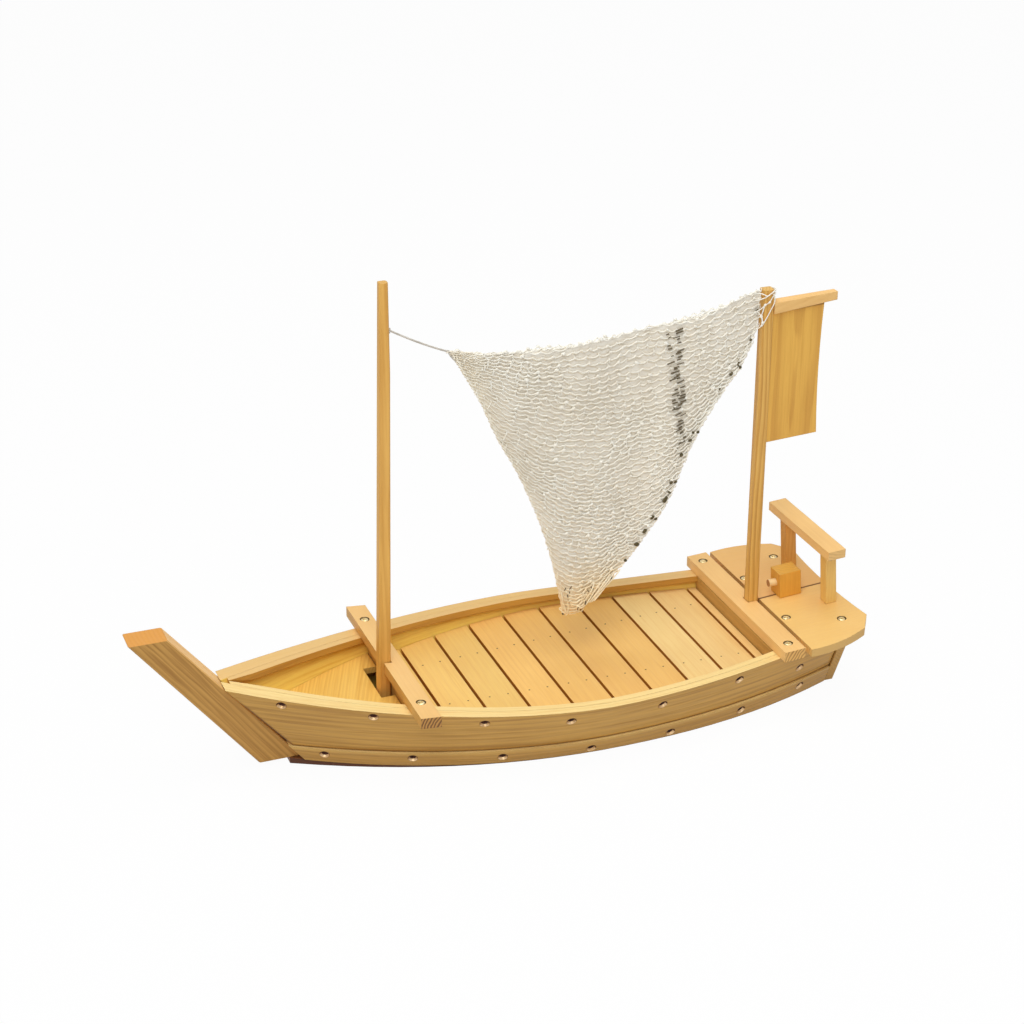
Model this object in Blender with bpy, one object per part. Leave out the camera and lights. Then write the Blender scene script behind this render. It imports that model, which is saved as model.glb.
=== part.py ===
"""Wooden serving boat with two masts, a slatted floor and a cotton net.

Metres, +Z up. The keel runs along X with the bow at -X, port is -Y, and the boat stands on z = 0.
"""
import math

import bmesh
import bpy
from mathutils import Vector

for old in list(bpy.data.objects):
    bpy.data.objects.remove(old, do_unlink=True)

# Clearances
GAP = 0.0003
FIT_GAP = 0.0005
END_GAP = 0.0008
MAST_PLAY = 0.0004

# Plan of the top edge: half breadths and how full the ends are
TOP_HALF = 0.1145
TOP_WIDEST_X = 0.062
TOP_BOW_X = -0.257
TOP_BOW_HALF = 0.0155
TOP_BOW_POWER = 1.8
TOP_STERN_HALF = 0.078
TOP_STERN_POWER = 1.6

# Plan of the bottom edge
FOOT_HALF = 0.089
FOOT_WIDEST_X = 0.085
FOOT_BOW_X = -0.199
FOOT_BOW_HALF = 0.0095
FOOT_BOW_POWER = 2.05
FOOT_STERN_HALF = 0.0495
FOOT_STERN_POWER = 2.2

# Profile: the sheer and the seam between plank and strake are parabolas
SHEER_LOW = 0.0568
SHEER_LOW_X = 0.110
SHEER_CURVE = 0.22
SEAM_LOW = 0.0168
SEAM_LOW_X = 0.060
SEAM_CURVE = 0.07
FOOT_HEIGHT = 0.001
STERN_X = 0.303

# Boards of the hull
PLANK_THICK = 0.007
PLANK_BOW_THICK = 0.013
PLANK_HEEL_GAP = 0.0036
STRAKE_THICK = 0.008
STRAKE_LAP = 0.0025
INWALE_WIDTH = 0.006
INWALE_DEPTH = 0.005
BOTTOM_THICK = 0.0056
BOTTOM_INSET = 0.001
TRANSOM_THICK = 0.008
TRANSOM_PROUD = 0.002
MEETING_HALF = 0.0005
HULL_STATIONS = 24
HULL_ROWS = 3

# Stem
STEM_THICK = 0.025
STEM_TOP = 0.1395
STEM_TIP_X = -0.330
STEM_TOP_LENGTH = 0.033
STEM_FRONT_RUN = 0.104
STEM_BACK_RUN = 0.108
STEM_CHAMFER = 0.0012

# Crossbeams and bulkheads
BEAM_THICK = 0.0098
FORE_BEAM_X = -0.1002
FORE_BEAM_WIDTH = 0.018
FORE_BEAM_HALF = 0.107
AFT_BEAM_X = 0.2421
AFT_BEAM_WIDTH = 0.020
AFT_BEAM_HALF = 0.1025
BULKHEAD_THICK = 0.008
BULKHEAD_TOP_GAP = 0.0005

# Floor
FLOOR_TOP = 0.045
FLOOR_SLOPE = 0.0138
FLOOR_MIDDLE_X = 0.075
SLAT_THICK = 0.007
SLAT_GAP = 0.0027
SLAT_PITCH = 0.0365
FIRST_GAP_X = -0.0697
SLAT_COUNT = 10
BEARER_THICK = 0.010
BEARER_FORE_Y = 0.0355
BEARER_AFT_Y = 0.0525

# Fore deck
FORE_DECK_TOP = 0.050
FORE_DECK_THICK = 0.006
FORE_DECK_AFT_X = -0.1155
FORE_DECK_TIP_HALF = 0.0035
MAST_SLOT_PORT = 0.0164
MAST_SLOT_STARBOARD = 0.038

# Aft deck
DECK_FORE_X = 0.2575
DECK_AFT_X = 0.330
DECK_THICK = 0.0077
DECK_HALF = 0.105
DECK_WIDEST_X = 0.268
DECK_CLIP_X = 0.317
DECK_CLIP_SIDE = 0.092
DECK_CLIP_AFT = 0.072
DECK_AFT_HOLLOW = 0.004
DECK_JOINT = 0.0008
CLEAT_WIDTH = 0.012
CLEAT_THICK = 0.012

# Masts
FORE_MAST_X = -0.1083
FORE_MAST_TAPER = 0.345
FORE_MAST_TOP = 0.423
FORE_MAST_BASE_WIDTH = 0.0109
FORE_MAST_MIDDLE_WIDTH = 0.00925
FORE_MAST_TIP_WIDTH = 0.0075
FORE_MAST_LEAN = math.radians(1.535)
AFT_MAST_X = 0.249
AFT_MAST_WIDTH = 0.0102
AFT_MAST_TOP = 0.374
MAST_CHAMFER = 0.0012
STEP_SIZE = 0.030
STEP_HEIGHT = 0.016
STEP_SOCKET = 0.010

# Yard and flag board
YARD_TOP = 0.3615
YARD_DEPTH = 0.0098
YARD_END_DEPTH = 0.0075
YARD_WIDTH = 0.0115
YARD_END_WIDTH = 0.0075
YARD_END_X = 0.3207
YARD_SWING = 0.1
FLAG_FOOT = 0.2288
FLAG_LENGTH = 0.0537
FLAG_HOLLOW = 0.002
FLAG_THICK = 0.004

# Stern fittings
POST_WIDTH = 0.0105
POST_PORT_X = 0.312
POST_STARBOARD_X = 0.3055
POST_Y = 0.033
RAIL_TOP = 0.1378
RAIL_THICK = 0.0082
RAIL_WIDTH = 0.017
RAIL_HALF = 0.0585
RAIL_X = 0.3028
BLOCK_LENGTH = 0.0215
BLOCK_WIDTH = 0.0185
BLOCK_HEIGHT = 0.0245
BLOCK_X = 0.2855
PEG_RADIUS = 0.0035
PEG_LENGTH = 0.017
PEG_SHOWS = 0.0085
PEG_HEIGHT = 0.0125

# Brass screws: a countersunk head over a plain shank
SCREW_HEAD_RADIUS = 0.0041
SCREW_HEAD_DEPTH = 0.0024
SCREW_SHANK_RADIUS = 0.0016
SCREW_LENGTH = 0.017
SCREW_SINK = 0.0007
SCREW_SIDES = 16
DECK_SCREW_AFT_Y = 0.0676
DECK_SCREW_FORE_Y = 0.0423

# Net: a triangle of rhombic gaps, hung from two corners
NET_FORE = (-0.0437, 0.3560)
NET_AFT_HEIGHT = 0.3680
NET_TIP = (0.0620, 0.0890)
NET_TOP_SAG = (0.000, -0.0185)
NET_AFT_BULGE = (0.024, -0.010)
NET_AFT_SKEW = 0.4
NET_FORE_HOLLOW = (0.012, 0.000)
NET_ROWS = 23
NET_THREAD = 0.0018
NET_THICK = 0.0014

# Cord from the fore mast to the net
CORD_RADIUS = 0.0009
CORD_MAST_HEIGHT = 0.381
CORD_SAG = 0.0012
CORD_POINTS = 7

# Colours: pale softwood, brass and cotton
PLANK_WOOD = (0.62, 0.36, 0.11, 1.0)
FLOOR_WOOD = (0.85, 0.55, 0.22, 1.0)
MAST_WOOD = (0.68, 0.38, 0.09, 1.0)
BRASS = (0.80, 0.68, 0.34, 1.0)
COTTON = (0.80, 0.77, 0.68, 1.0)


def material(name, colour, roughness, metallic):
    made = bpy.data.materials.new(name)
    made.use_nodes = True
    shader = made.node_tree.nodes["Principled BSDF"]
    shader.inputs["Base Color"].default_value = colour
    shader.inputs["Roughness"].default_value = roughness
    shader.inputs["Metallic"].default_value = metallic
    made.diffuse_color = colour
    return made


# Shape helpers

def add(name, points, faces, colour, roughness=0.45, metallic=0.0):
    """One closed object from points and faces, with its faces turned outwards."""
    mesh = bpy.data.meshes.new(name)
    mesh.from_pydata([Vector(p) for p in points], [], faces)
    work = bmesh.new()
    work.from_mesh(mesh)
    bmesh.ops.recalc_face_normals(work, faces=work.faces)
    work.to_mesh(mesh)
    work.free()
    made = bpy.data.objects.new(name, mesh)
    bpy.context.collection.objects.link(made)
    mesh.materials.append(material(name, colour, roughness, metallic))
    return made


def loft(name, rings, colour, **finish):
    """A solid through rings of the same number of points, closed by its end faces."""
    count = len(rings[0])
    points = [p for ring in rings for p in ring]
    faces = [list(range(count)), list(range(len(points) - count, len(points)))]
    for level in range(len(rings) - 1):
        for i in range(count):
            j = (i + 1) % count
            low = level * count
            faces.append([low + i, low + j, low + count + j, low + count + i])
    return add(name, points, faces, colour, **finish)


def board(name, outline, floor, ceiling, colour, **finish):
    """A board from a plan outline; floor and ceiling give its heights at a point."""
    lower = [(x, y, floor(x, y)) for x, y in outline]
    upper = [(x, y, ceiling(x, y)) for x, y in outline]
    return loft(name, [lower, upper], colour, **finish)


def level(height):
    return lambda x, y: height


def rectangle(x, half_length, y, half_width):
    return [(x - half_length, y - half_width), (x + half_length, y - half_width),
            (x + half_length, y + half_width), (x - half_length, y + half_width)]


def chamfered_square(half, chamfer):
    """Corners of a square with its edges taken off, centred on the origin."""
    flat = half - chamfer
    return [(-flat, -half), (flat, -half), (half, -flat), (half, flat),
            (flat, half), (-flat, half), (-half, flat), (-half, -flat)]


def steps(start, end, count):
    return [start + (end - start) * i / (count - 1) for i in range(count)]


def mirrored(points, side):
    return [(x, side * y, z) for x, y, z in points]


def cutter(name, maker):
    """Build a hidden cutting shape with the given maker."""
    made = maker(name)
    made.hide_render = True
    made.display_type = "WIRE"
    return made


def cut(target, tool):
    boolean = target.modifiers.new("cut_" + tool.name, "BOOLEAN")
    boolean.operation = "DIFFERENCE"
    boolean.solver = "EXACT"
    boolean.object = tool


def smooth(piece):
    """Shade a round piece smooth, with its corners left sharp."""
    piece.data.shade_smooth()
    piece.data.set_sharp_from_angle(angle=math.radians(40))


def carry(name, place, pieces):
    """An empty at the foot of a mast that carries what lifts out with it."""
    seat = bpy.data.objects.new(name, None)
    seat.location = place
    bpy.context.collection.objects.link(seat)
    bpy.context.view_layer.update()
    for piece in pieces:
        piece.parent = seat
        piece.matrix_parent_inverse = seat.matrix_world.inverted()


# Lines of the hull

def taper(x, widest, widest_x, bow, bow_x, bow_power, stern, stern_power):
    """Half breadth that falls away from its widest place by a power towards each end."""
    if x < widest_x:
        return widest - (widest - bow) * ((widest_x - x) / (widest_x - bow_x)) ** bow_power
    return widest - (widest - stern) * ((x - widest_x) / (STERN_X - widest_x)) ** stern_power


def top_half(x):
    return taper(x, TOP_HALF, TOP_WIDEST_X, TOP_BOW_HALF, TOP_BOW_X, TOP_BOW_POWER,
                 TOP_STERN_HALF, TOP_STERN_POWER)


def foot_half(x):
    return taper(x, FOOT_HALF, FOOT_WIDEST_X, FOOT_BOW_HALF, FOOT_BOW_X, FOOT_BOW_POWER,
                 FOOT_STERN_HALF, FOOT_STERN_POWER)


def sheer(x):
    return SHEER_LOW + SHEER_CURVE * (x - SHEER_LOW_X) ** 2


def sheer_slope(x):
    return 2 * SHEER_CURVE * (x - SHEER_LOW_X)


def seam(x):
    return SEAM_LOW + SEAM_CURVE * (x - SEAM_LOW_X) ** 2


def strake_foot(x):
    """Lower edge of the strakes, which rises to the top of the bottom board at the bow."""
    towards_bow = max(0.0, (FOOT_WIDEST_X - x) / (FOOT_WIDEST_X - FOOT_BOW_X))
    return FOOT_HEIGHT + (BOTTOM_THICK - FOOT_HEIGHT) * min(1.0, towards_bow) ** 3


def side(x, z):
    """Outer half breadth of the upper planks, carried straight on below the seam."""
    low = foot_half(x)
    return low + (top_half(x) - low) * (z - FOOT_HEIGHT) / (sheer(x) - FOOT_HEIGHT)


def slant(x, z):
    """How much longer the side is across at constant x and z than through its thickness."""
    reach = 0.002
    along = (side(x + reach, z) - side(x - reach, z)) / (2 * reach)
    up = (side(x, z + reach) - side(x, z - reach)) / (2 * reach)
    return math.sqrt(1 + along ** 2 + up ** 2)


def plank_thick(x):
    towards_bow = max(0.0, (TOP_WIDEST_X - x) / (TOP_WIDEST_X - TOP_BOW_X))
    return PLANK_THICK + (PLANK_BOW_THICK - PLANK_THICK) * towards_bow


def inside(x, z):
    """Inner half breadth of the upper planks."""
    return max(MEETING_HALF, side(x, z) - plank_thick(x) * slant(x, z))


def strake_outside(x, z):
    return side(x, z) + STRAKE_LAP


def strake_inside(x, z):
    return max(MEETING_HALF, strake_outside(x, z) - STRAKE_THICK * slant(x, z))


def stem_foot():
    """The stem stands on the fore end of the bottom board."""
    return BOTTOM_THICK + GAP


def stem_front(z):
    return STEM_TIP_X + STEM_FRONT_RUN * (STEM_TOP - z) / (STEM_TOP - stem_foot())


def stem_back(z):
    return STEM_TIP_X + STEM_TOP_LENGTH + STEM_BACK_RUN * (STEM_TOP - z) / (STEM_TOP - stem_foot())


def meet_stem(height_line):
    """Where a line of the side, given by its height, comes up to the back of the stem."""
    x = stem_back(stem_foot())
    for _ in range(30):
        x = stem_back(height_line(x)) + END_GAP
    return x


# Hull

def make_stem():
    half = STEM_THICK / 2
    flat = half - STEM_CHAMFER

    def ring(z):
        front = stem_front(z)
        back = stem_back(z)
        return [(front, -flat, z), (front + STEM_CHAMFER, -half, z), (back - STEM_CHAMFER, -half, z),
                (back, -flat, z), (back, flat, z), (back - STEM_CHAMFER, half, z),
                (front + STEM_CHAMFER, half, z), (front, flat, z)]
    loft("stem", [ring(stem_foot()), ring(STEM_TOP)], PLANK_WOOD)


def run_of_boards(name, side_sign, upper, lower, outer, inner, aft_x, heel_gap=0.0):
    """A bent board between two height lines and two breadth functions, its bow end cut to the stem."""
    bow_upper = meet_stem(upper)
    bow_rake = meet_stem(lower) + heel_gap - bow_upper
    rings = []
    for share in steps(0.0, 1.0, HULL_STATIONS):
        high_x = bow_upper + (aft_x - bow_upper) * share
        low_x = high_x + bow_rake * (1 - share) ** 3
        low = lower(low_x)
        rise = upper(high_x) - low
        rows = [(low_x + (high_x - low_x) * up, low + rise * up) for up in steps(0.0, 1.0, HULL_ROWS)]
        ring = [(x, outer(x, z), z) for x, z in rows]
        ring += [(x, inner(x, z), z) for x, z in reversed(rows)]
        rings.append(mirrored(ring, side_sign))
    return loft(name, rings, PLANK_WOOD)


def inwale_outside(x, z):
    return inside(x, z) - GAP


def inwale_inside(x, z):
    return max(MEETING_HALF, inwale_outside(x, z) - INWALE_WIDTH * slant(x, z))


def inwale_foot(x):
    return sheer(x) - INWALE_DEPTH


def between_inwales(x):
    """Half the clear breadth between the inwales, at their narrower lower edges."""
    return inwale_inside(x, inwale_foot(x)) - GAP


def inwale_bow():
    """The inwales start where the planks leave room for them behind the stem."""
    x = meet_stem(sheer)
    while inwale_outside(x, inwale_foot(x)) < MEETING_HALF + INWALE_WIDTH / 3:
        x += END_GAP
    return x


def make_inwale(name, side_sign):
    rings = []
    for x in steps(inwale_bow(), STERN_X - END_GAP, HULL_STATIONS):
        high = sheer(x)
        low = inwale_foot(x)
        ring = [(x, inwale_outside(x, low), low), (x, inwale_outside(x, high), high),
                (x, inwale_inside(x, high), high), (x, inwale_inside(x, low), low)]
        rings.append(mirrored(ring, side_sign))
    loft(name, rings, FLOOR_WOOD)


def make_sides():
    planks = []
    for name, side_sign in (("port", -1), ("starboard", 1)):
        planks.append(run_of_boards(name + "_upper_plank", side_sign, sheer, lambda x: seam(x) + GAP,
                                    side, inside, STERN_X - END_GAP, PLANK_HEEL_GAP))
        run_of_boards(name + "_lower_strake", side_sign, seam, strake_foot,
                      strake_outside, strake_inside, STERN_X - END_GAP)
        make_inwale(name + "_inwale", side_sign)
    return planks


def spanning_board(name, stations, floor, ceiling, edge, colour):
    """A board from side to side whose edges lean with the sides of the hull."""
    def outline(height):
        port = [(x, -edge(x, height(x, 0)), height(x, 0)) for x in stations]
        starboard = [(x, -y, z) for x, y, z in reversed(port)]
        return port + starboard
    return loft(name, [outline(floor), outline(ceiling)], colour)


def make_bottom():
    """The bottom board, with a lip under the strakes that shows below them at the bow."""
    rings = []
    for x in steps(FOOT_BOW_X, STERN_X - GAP, HULL_STATIONS):
        lip = strake_foot(x) - GAP
        wide = strake_outside(x, lip) - BOTTOM_INSET
        low = min(wide, strake_inside(x, lip) - GAP)
        high = min(wide, strake_inside(x, BOTTOM_THICK) - GAP)
        half = [(x, wide, 0.0), (x, wide, lip), (x, low, lip), (x, high, BOTTOM_THICK)]
        rings.append(mirrored(half, -1) + list(reversed(half)))
    loft("bottom_board", rings, PLANK_WOOD)


def make_transom():
    aft = STERN_X + TRANSOM_THICK
    low = FOOT_HEIGHT
    rings = []
    for x in (STERN_X, aft):
        high = deck_floor(x, 0) - GAP
        ring = []
        for z in (low, high):
            ring.append((x, -side(STERN_X, z) - TRANSOM_PROUD, z))
        for z in (high, low):
            ring.append((x, side(STERN_X, z) + TRANSOM_PROUD, z))
        rings.append(ring)
    return loft("transom", rings, PLANK_WOOD)


# Crossbeams, bulkheads and floor

def beam_floor(beam_x):
    return lambda x, y: sheer(beam_x) + sheer_slope(beam_x) * (x - beam_x) + GAP


def beam_ceiling(beam_x):
    return lambda x, y: beam_floor(beam_x)(x, y) + BEAM_THICK


def mast_foot():
    """Both masts stand in the sockets of their steps."""
    return BOTTOM_THICK + STEP_HEIGHT - STEP_SOCKET + GAP


def fore_mast_width(z):
    """The fore mast is slightly tapered, and more so at its tip."""
    if z < FORE_MAST_TAPER:
        share = (z - mast_foot()) / (FORE_MAST_TAPER - mast_foot())
        return FORE_MAST_BASE_WIDTH + (FORE_MAST_MIDDLE_WIDTH - FORE_MAST_BASE_WIDTH) * share
    share = (z - FORE_MAST_TAPER) / (FORE_MAST_TOP - FORE_MAST_TAPER)
    return FORE_MAST_MIDDLE_WIDTH + (FORE_MAST_TIP_WIDTH - FORE_MAST_MIDDLE_WIDTH) * share


def fore_mast_x(z):
    """Centre of the leaning fore mast at a height; its fore face stays straight along the tip."""
    lost = max(0.0, FORE_MAST_MIDDLE_WIDTH - fore_mast_width(z))
    return FORE_MAST_X + math.tan(FORE_MAST_LEAN) * (z - SHEER_LOW) - lost / 2


def make_beam(name, beam_x, width, half, mast_x, mast_half, open_side):
    """A crossbeam with a notch for the mast in its fore (-1) or aft (1) edge."""
    edge = beam_x + open_side * width / 2
    other = beam_x - open_side * width / 2
    notch_half = mast_half + MAST_PLAY
    notch_end = mast_x - open_side * notch_half
    outline = [(other, -half), (edge, -half), (edge, -notch_half), (notch_end, -notch_half),
               (notch_end, notch_half), (edge, notch_half), (edge, half), (other, half)]
    return board(name, outline, beam_floor(beam_x), beam_ceiling(beam_x), FLOOR_WOOD)


def make_beams():
    beam_middle = beam_floor(FORE_BEAM_X)(FORE_BEAM_X, 0) + BEAM_THICK / 2
    lean_play = math.tan(FORE_MAST_LEAN) * BEAM_THICK
    fore = make_beam("fore_crossbeam", FORE_BEAM_X, FORE_BEAM_WIDTH, FORE_BEAM_HALF,
                     fore_mast_x(beam_middle), FORE_MAST_BASE_WIDTH / 2 + lean_play, -1)
    aft = make_beam("aft_crossbeam", AFT_BEAM_X, AFT_BEAM_WIDTH, AFT_BEAM_HALF, AFT_MAST_X,
                    AFT_MAST_WIDTH / 2, 1)
    return fore, aft


def fore_bulkhead_x():
    """The fore bulkhead stands just behind the fore mast."""
    under_beam = sheer(FORE_BEAM_X)
    return fore_mast_x(under_beam) + fore_mast_width(under_beam) / 2 + MAST_PLAY


def aft_bulkhead_x():
    return AFT_BEAM_X - AFT_BEAM_WIDTH / 2


def between_planks(x, z):
    """Half the breadth of a board that fits between the upper planks."""
    return inside(x, z) - FIT_GAP


def make_bulkhead(name, fore_x, low, top):
    """An upright board across the hull, cut round the inwales."""
    inwale_level = min(inwale_foot(fore_x), inwale_foot(fore_x + BULKHEAD_THICK)) - GAP
    heights = [z for z in (low, seam(fore_x) + GAP, inwale_level) if z >= low]
    rings = []
    for x in (fore_x, fore_x + BULKHEAD_THICK):
        port = [(x, -between_planks(x, z), z) for z in heights]
        port += [(x, -between_inwales(x), inwale_level), (x, -between_inwales(x), top)]
        starboard = [(x, -y, z) for x, y, z in reversed(port)]
        rings.append(port + starboard)
    return loft(name, rings, FLOOR_WOOD)


def make_bulkheads():
    """The fore bulkhead stands on the floor bearers, and the aft one on the bottom board."""
    fore_x = fore_bulkhead_x()
    fore_top = beam_floor(FORE_BEAM_X)(fore_x + BULKHEAD_THICK, 0) - BULKHEAD_TOP_GAP
    make_bulkhead("fore_bulkhead", fore_x, slat_foot(fore_x + BULKHEAD_THICK), fore_top)
    aft_x = aft_bulkhead_x()
    aft_top = beam_floor(AFT_BEAM_X)(aft_x, 0) - BULKHEAD_TOP_GAP
    make_bulkhead("aft_bulkhead", aft_x, BOTTOM_THICK + GAP, aft_top)


def bearer_y(x):
    fore = fore_bulkhead_x()
    return BEARER_FORE_Y + (BEARER_AFT_Y - BEARER_FORE_Y) * (x - fore) / (aft_bulkhead_x() - fore)


def floor_top(x, y=0.0):
    """The floor rises a little towards the stern."""
    return FLOOR_TOP + FLOOR_SLOPE * (x - FLOOR_MIDDLE_X)


def slat_foot(x, y=0.0):
    return floor_top(x) - SLAT_THICK


def make_floor():
    fore_end = fore_bulkhead_x() + BULKHEAD_THICK + END_GAP
    aft_end = aft_bulkhead_x() - END_GAP
    for number in range(SLAT_COUNT):
        fore = FIRST_GAP_X + SLAT_PITCH * (number - 1) + SLAT_GAP / 2
        aft = FIRST_GAP_X + SLAT_PITCH * number - SLAT_GAP / 2
        fore = max(fore, fore_end)
        aft = min(aft, aft_end)
        spanning_board("floor_slat_%02d" % (number + 1), steps(fore, aft, 3), slat_foot, floor_top,
                       between_planks, FLOOR_WOOD)
    half = BEARER_THICK / 2
    for name, side_sign in (("port", -1), ("starboard", 1)):
        start = fore_bulkhead_x()
        outline = [(start, side_sign * (bearer_y(start) - half)),
                   (aft_end, side_sign * (bearer_y(aft_end) - half)),
                   (aft_end, side_sign * (bearer_y(aft_end) + half)),
                   (start, side_sign * (bearer_y(start) + half))]
        board(name + "_floor_bearer", outline, level(BOTTOM_THICK + GAP),
              lambda x, y: slat_foot(x) - GAP, FLOOR_WOOD)


def make_fore_deck():
    """The fore deck, which runs up to the bulkhead with a slot in its aft edge for the fore mast."""
    foot = FORE_DECK_TOP - FORE_DECK_THICK
    tip = stem_back(foot) + END_GAP
    while inside(tip, foot) < FORE_DECK_TIP_HALF:
        tip += END_GAP
    end = fore_bulkhead_x() - END_GAP

    def outline(z):
        port = [(x, -between_planks(x, z), z) for x in steps(tip, FORE_DECK_AFT_X, 9) + [end]]
        slot = [(end, -MAST_SLOT_PORT, z), (FORE_DECK_AFT_X, -MAST_SLOT_PORT, z),
                (FORE_DECK_AFT_X, MAST_SLOT_STARBOARD, z), (end, MAST_SLOT_STARBOARD, z)]
        starboard = [(x, -y, z) for x, y, z in reversed(port)]
        return port + slot + starboard
    loft("fore_deck", [outline(foot), outline(FORE_DECK_TOP)], FLOOR_WOOD)


# Aft deck and stern

def deck_slope():
    return (sheer(STERN_X) - sheer(DECK_FORE_X)) / (STERN_X - DECK_FORE_X)


def deck_floor(x, y):
    """The aft deck lies straight on the rising top edge of the hull."""
    return sheer(DECK_FORE_X) + deck_slope() * (x - DECK_FORE_X) + GAP


def deck_ceiling(x, y):
    return deck_floor(x, y) + DECK_THICK


def deck_side(x):
    hollow = (DECK_HALF - DECK_CLIP_SIDE) / (DECK_CLIP_X - DECK_WIDEST_X) ** 2
    return DECK_HALF - hollow * (x - DECK_WIDEST_X) ** 2


def deck_aft(y):
    """The aft edge is slightly hollow."""
    return DECK_AFT_X - DECK_AFT_HOLLOW * (1 - (y / DECK_CLIP_AFT) ** 2)


def make_aft_deck():
    decks = []
    for name, side_sign in (("port", -1), ("starboard", 1)):
        outer = [(x, deck_side(x)) for x in steps(DECK_FORE_X, DECK_CLIP_X, 8)]
        half = [(DECK_FORE_X, DECK_JOINT / 2)] + outer
        half += [(deck_aft(y), y) for y in steps(DECK_CLIP_AFT, DECK_JOINT / 2, 5)]
        outline = [(x, side_sign * y) for x, y in half]
        decks.append(board("aft_deck_" + name, outline, deck_floor, deck_ceiling, FLOOR_WOOD))
    return decks


def make_cleat():
    """The batten under the fore ends of the deck boards, between the inwales."""
    fore = DECK_FORE_X + GAP
    stations = [fore, fore + CLEAT_WIDTH]
    top = min(deck_floor(x, 0) for x in stations) - GAP
    return spanning_board("aft_deck_cleat", stations, level(top - CLEAT_THICK), level(top),
                          lambda x, z: between_inwales(x), FLOOR_WOOD)


def stand_on_deck(name, x, y, half_x, half_y, height):
    """A square prism that stands square to the sloping deck."""
    lean = 1 / math.sqrt(1 + deck_slope() ** 2)
    up = Vector((-deck_slope() * lean, 0.0, lean))
    foot = [Vector((px, py, deck_ceiling(px, py) + GAP)) for px, py in rectangle(x, half_x, y, half_y)]
    return loft(name, [foot, [p + up * height for p in foot]], MAST_WOOD)


def make_stern():
    rail_foot = RAIL_TOP - RAIL_THICK
    post_height = rail_foot - deck_ceiling(RAIL_X, 0) - 2 * GAP
    half = POST_WIDTH / 2
    stand_on_deck("port_rail_post", POST_PORT_X, -POST_Y, half, half, post_height)
    stand_on_deck("starboard_rail_post", POST_STARBOARD_X, POST_Y, half, half, post_height)
    board("stern_rail", rectangle(RAIL_X, RAIL_WIDTH / 2, 0.0, RAIL_HALF),
          lambda x, y: rail_foot + deck_slope() * (x - RAIL_X),
          lambda x, y: RAIL_TOP + deck_slope() * (x - RAIL_X), FLOOR_WOOD)
    block = stand_on_deck("stern_block", BLOCK_X, 0.0, BLOCK_LENGTH / 2, BLOCK_WIDTH / 2, BLOCK_HEIGHT)
    peg_tip = BLOCK_X - BLOCK_LENGTH / 2 - PEG_SHOWS
    peg_z = deck_ceiling(BLOCK_X, 0) + PEG_HEIGHT

    def dowel(name, radius, start, end):
        rings = []
        for x in (start, end):
            ring = []
            for i in range(SCREW_SIDES):
                turn = 2 * math.pi * i / SCREW_SIDES
                ring.append((x, radius * math.cos(turn), peg_z + radius * math.sin(turn)))
            rings.append(ring)
        return loft(name, rings, MAST_WOOD)
    smooth(dowel("stern_peg", PEG_RADIUS, peg_tip, peg_tip + PEG_LENGTH))
    cut(block, cutter("peg_hole", lambda name: dowel(name, PEG_RADIUS + GAP, peg_tip - GAP,
                                                     peg_tip + PEG_LENGTH + GAP)))


# Masts, yard and flag board

def make_step(name, x, mast_x, mast_width):
    """A block on the bottom board with a socket for the foot of a mast."""
    step = board(name, rectangle(x, STEP_SIZE / 2, 0.0, STEP_SIZE / 2), level(BOTTOM_THICK + GAP),
                 level(BOTTOM_THICK + STEP_HEIGHT), FLOOR_WOOD)
    half = mast_width / 2 + MAST_PLAY
    cut(step, cutter(name + "_socket", lambda label: board(
        label, rectangle(mast_x, half, 0.0, half), level(mast_foot() - GAP),
        level(BOTTOM_THICK + 2 * STEP_HEIGHT), FLOOR_WOOD)))


def make_masts():
    foot = mast_foot()
    rings = []
    for z in (foot, FORE_MAST_TAPER, FORE_MAST_TOP):
        half = fore_mast_width(z) / 2
        rings.append([(fore_mast_x(z) + x, y, z) for x, y in chamfered_square(half, MAST_CHAMFER)])
    fore = loft("fore_mast", rings, MAST_WOOD)
    socket_x = fore_mast_x(foot + STEP_SOCKET / 2)
    make_step("fore_mast_step", socket_x, socket_x, FORE_MAST_BASE_WIDTH)
    square = [(AFT_MAST_X + x, y) for x, y in chamfered_square(AFT_MAST_WIDTH / 2, MAST_CHAMFER)]
    aft = board("aft_mast", square, level(foot), level(AFT_MAST_TOP), MAST_WOOD)
    step_x = max(AFT_MAST_X, aft_bulkhead_x() + BULKHEAD_THICK + GAP + STEP_SIZE / 2)
    make_step("aft_mast_step", step_x, AFT_MAST_X, AFT_MAST_WIDTH)
    return fore, aft


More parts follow.
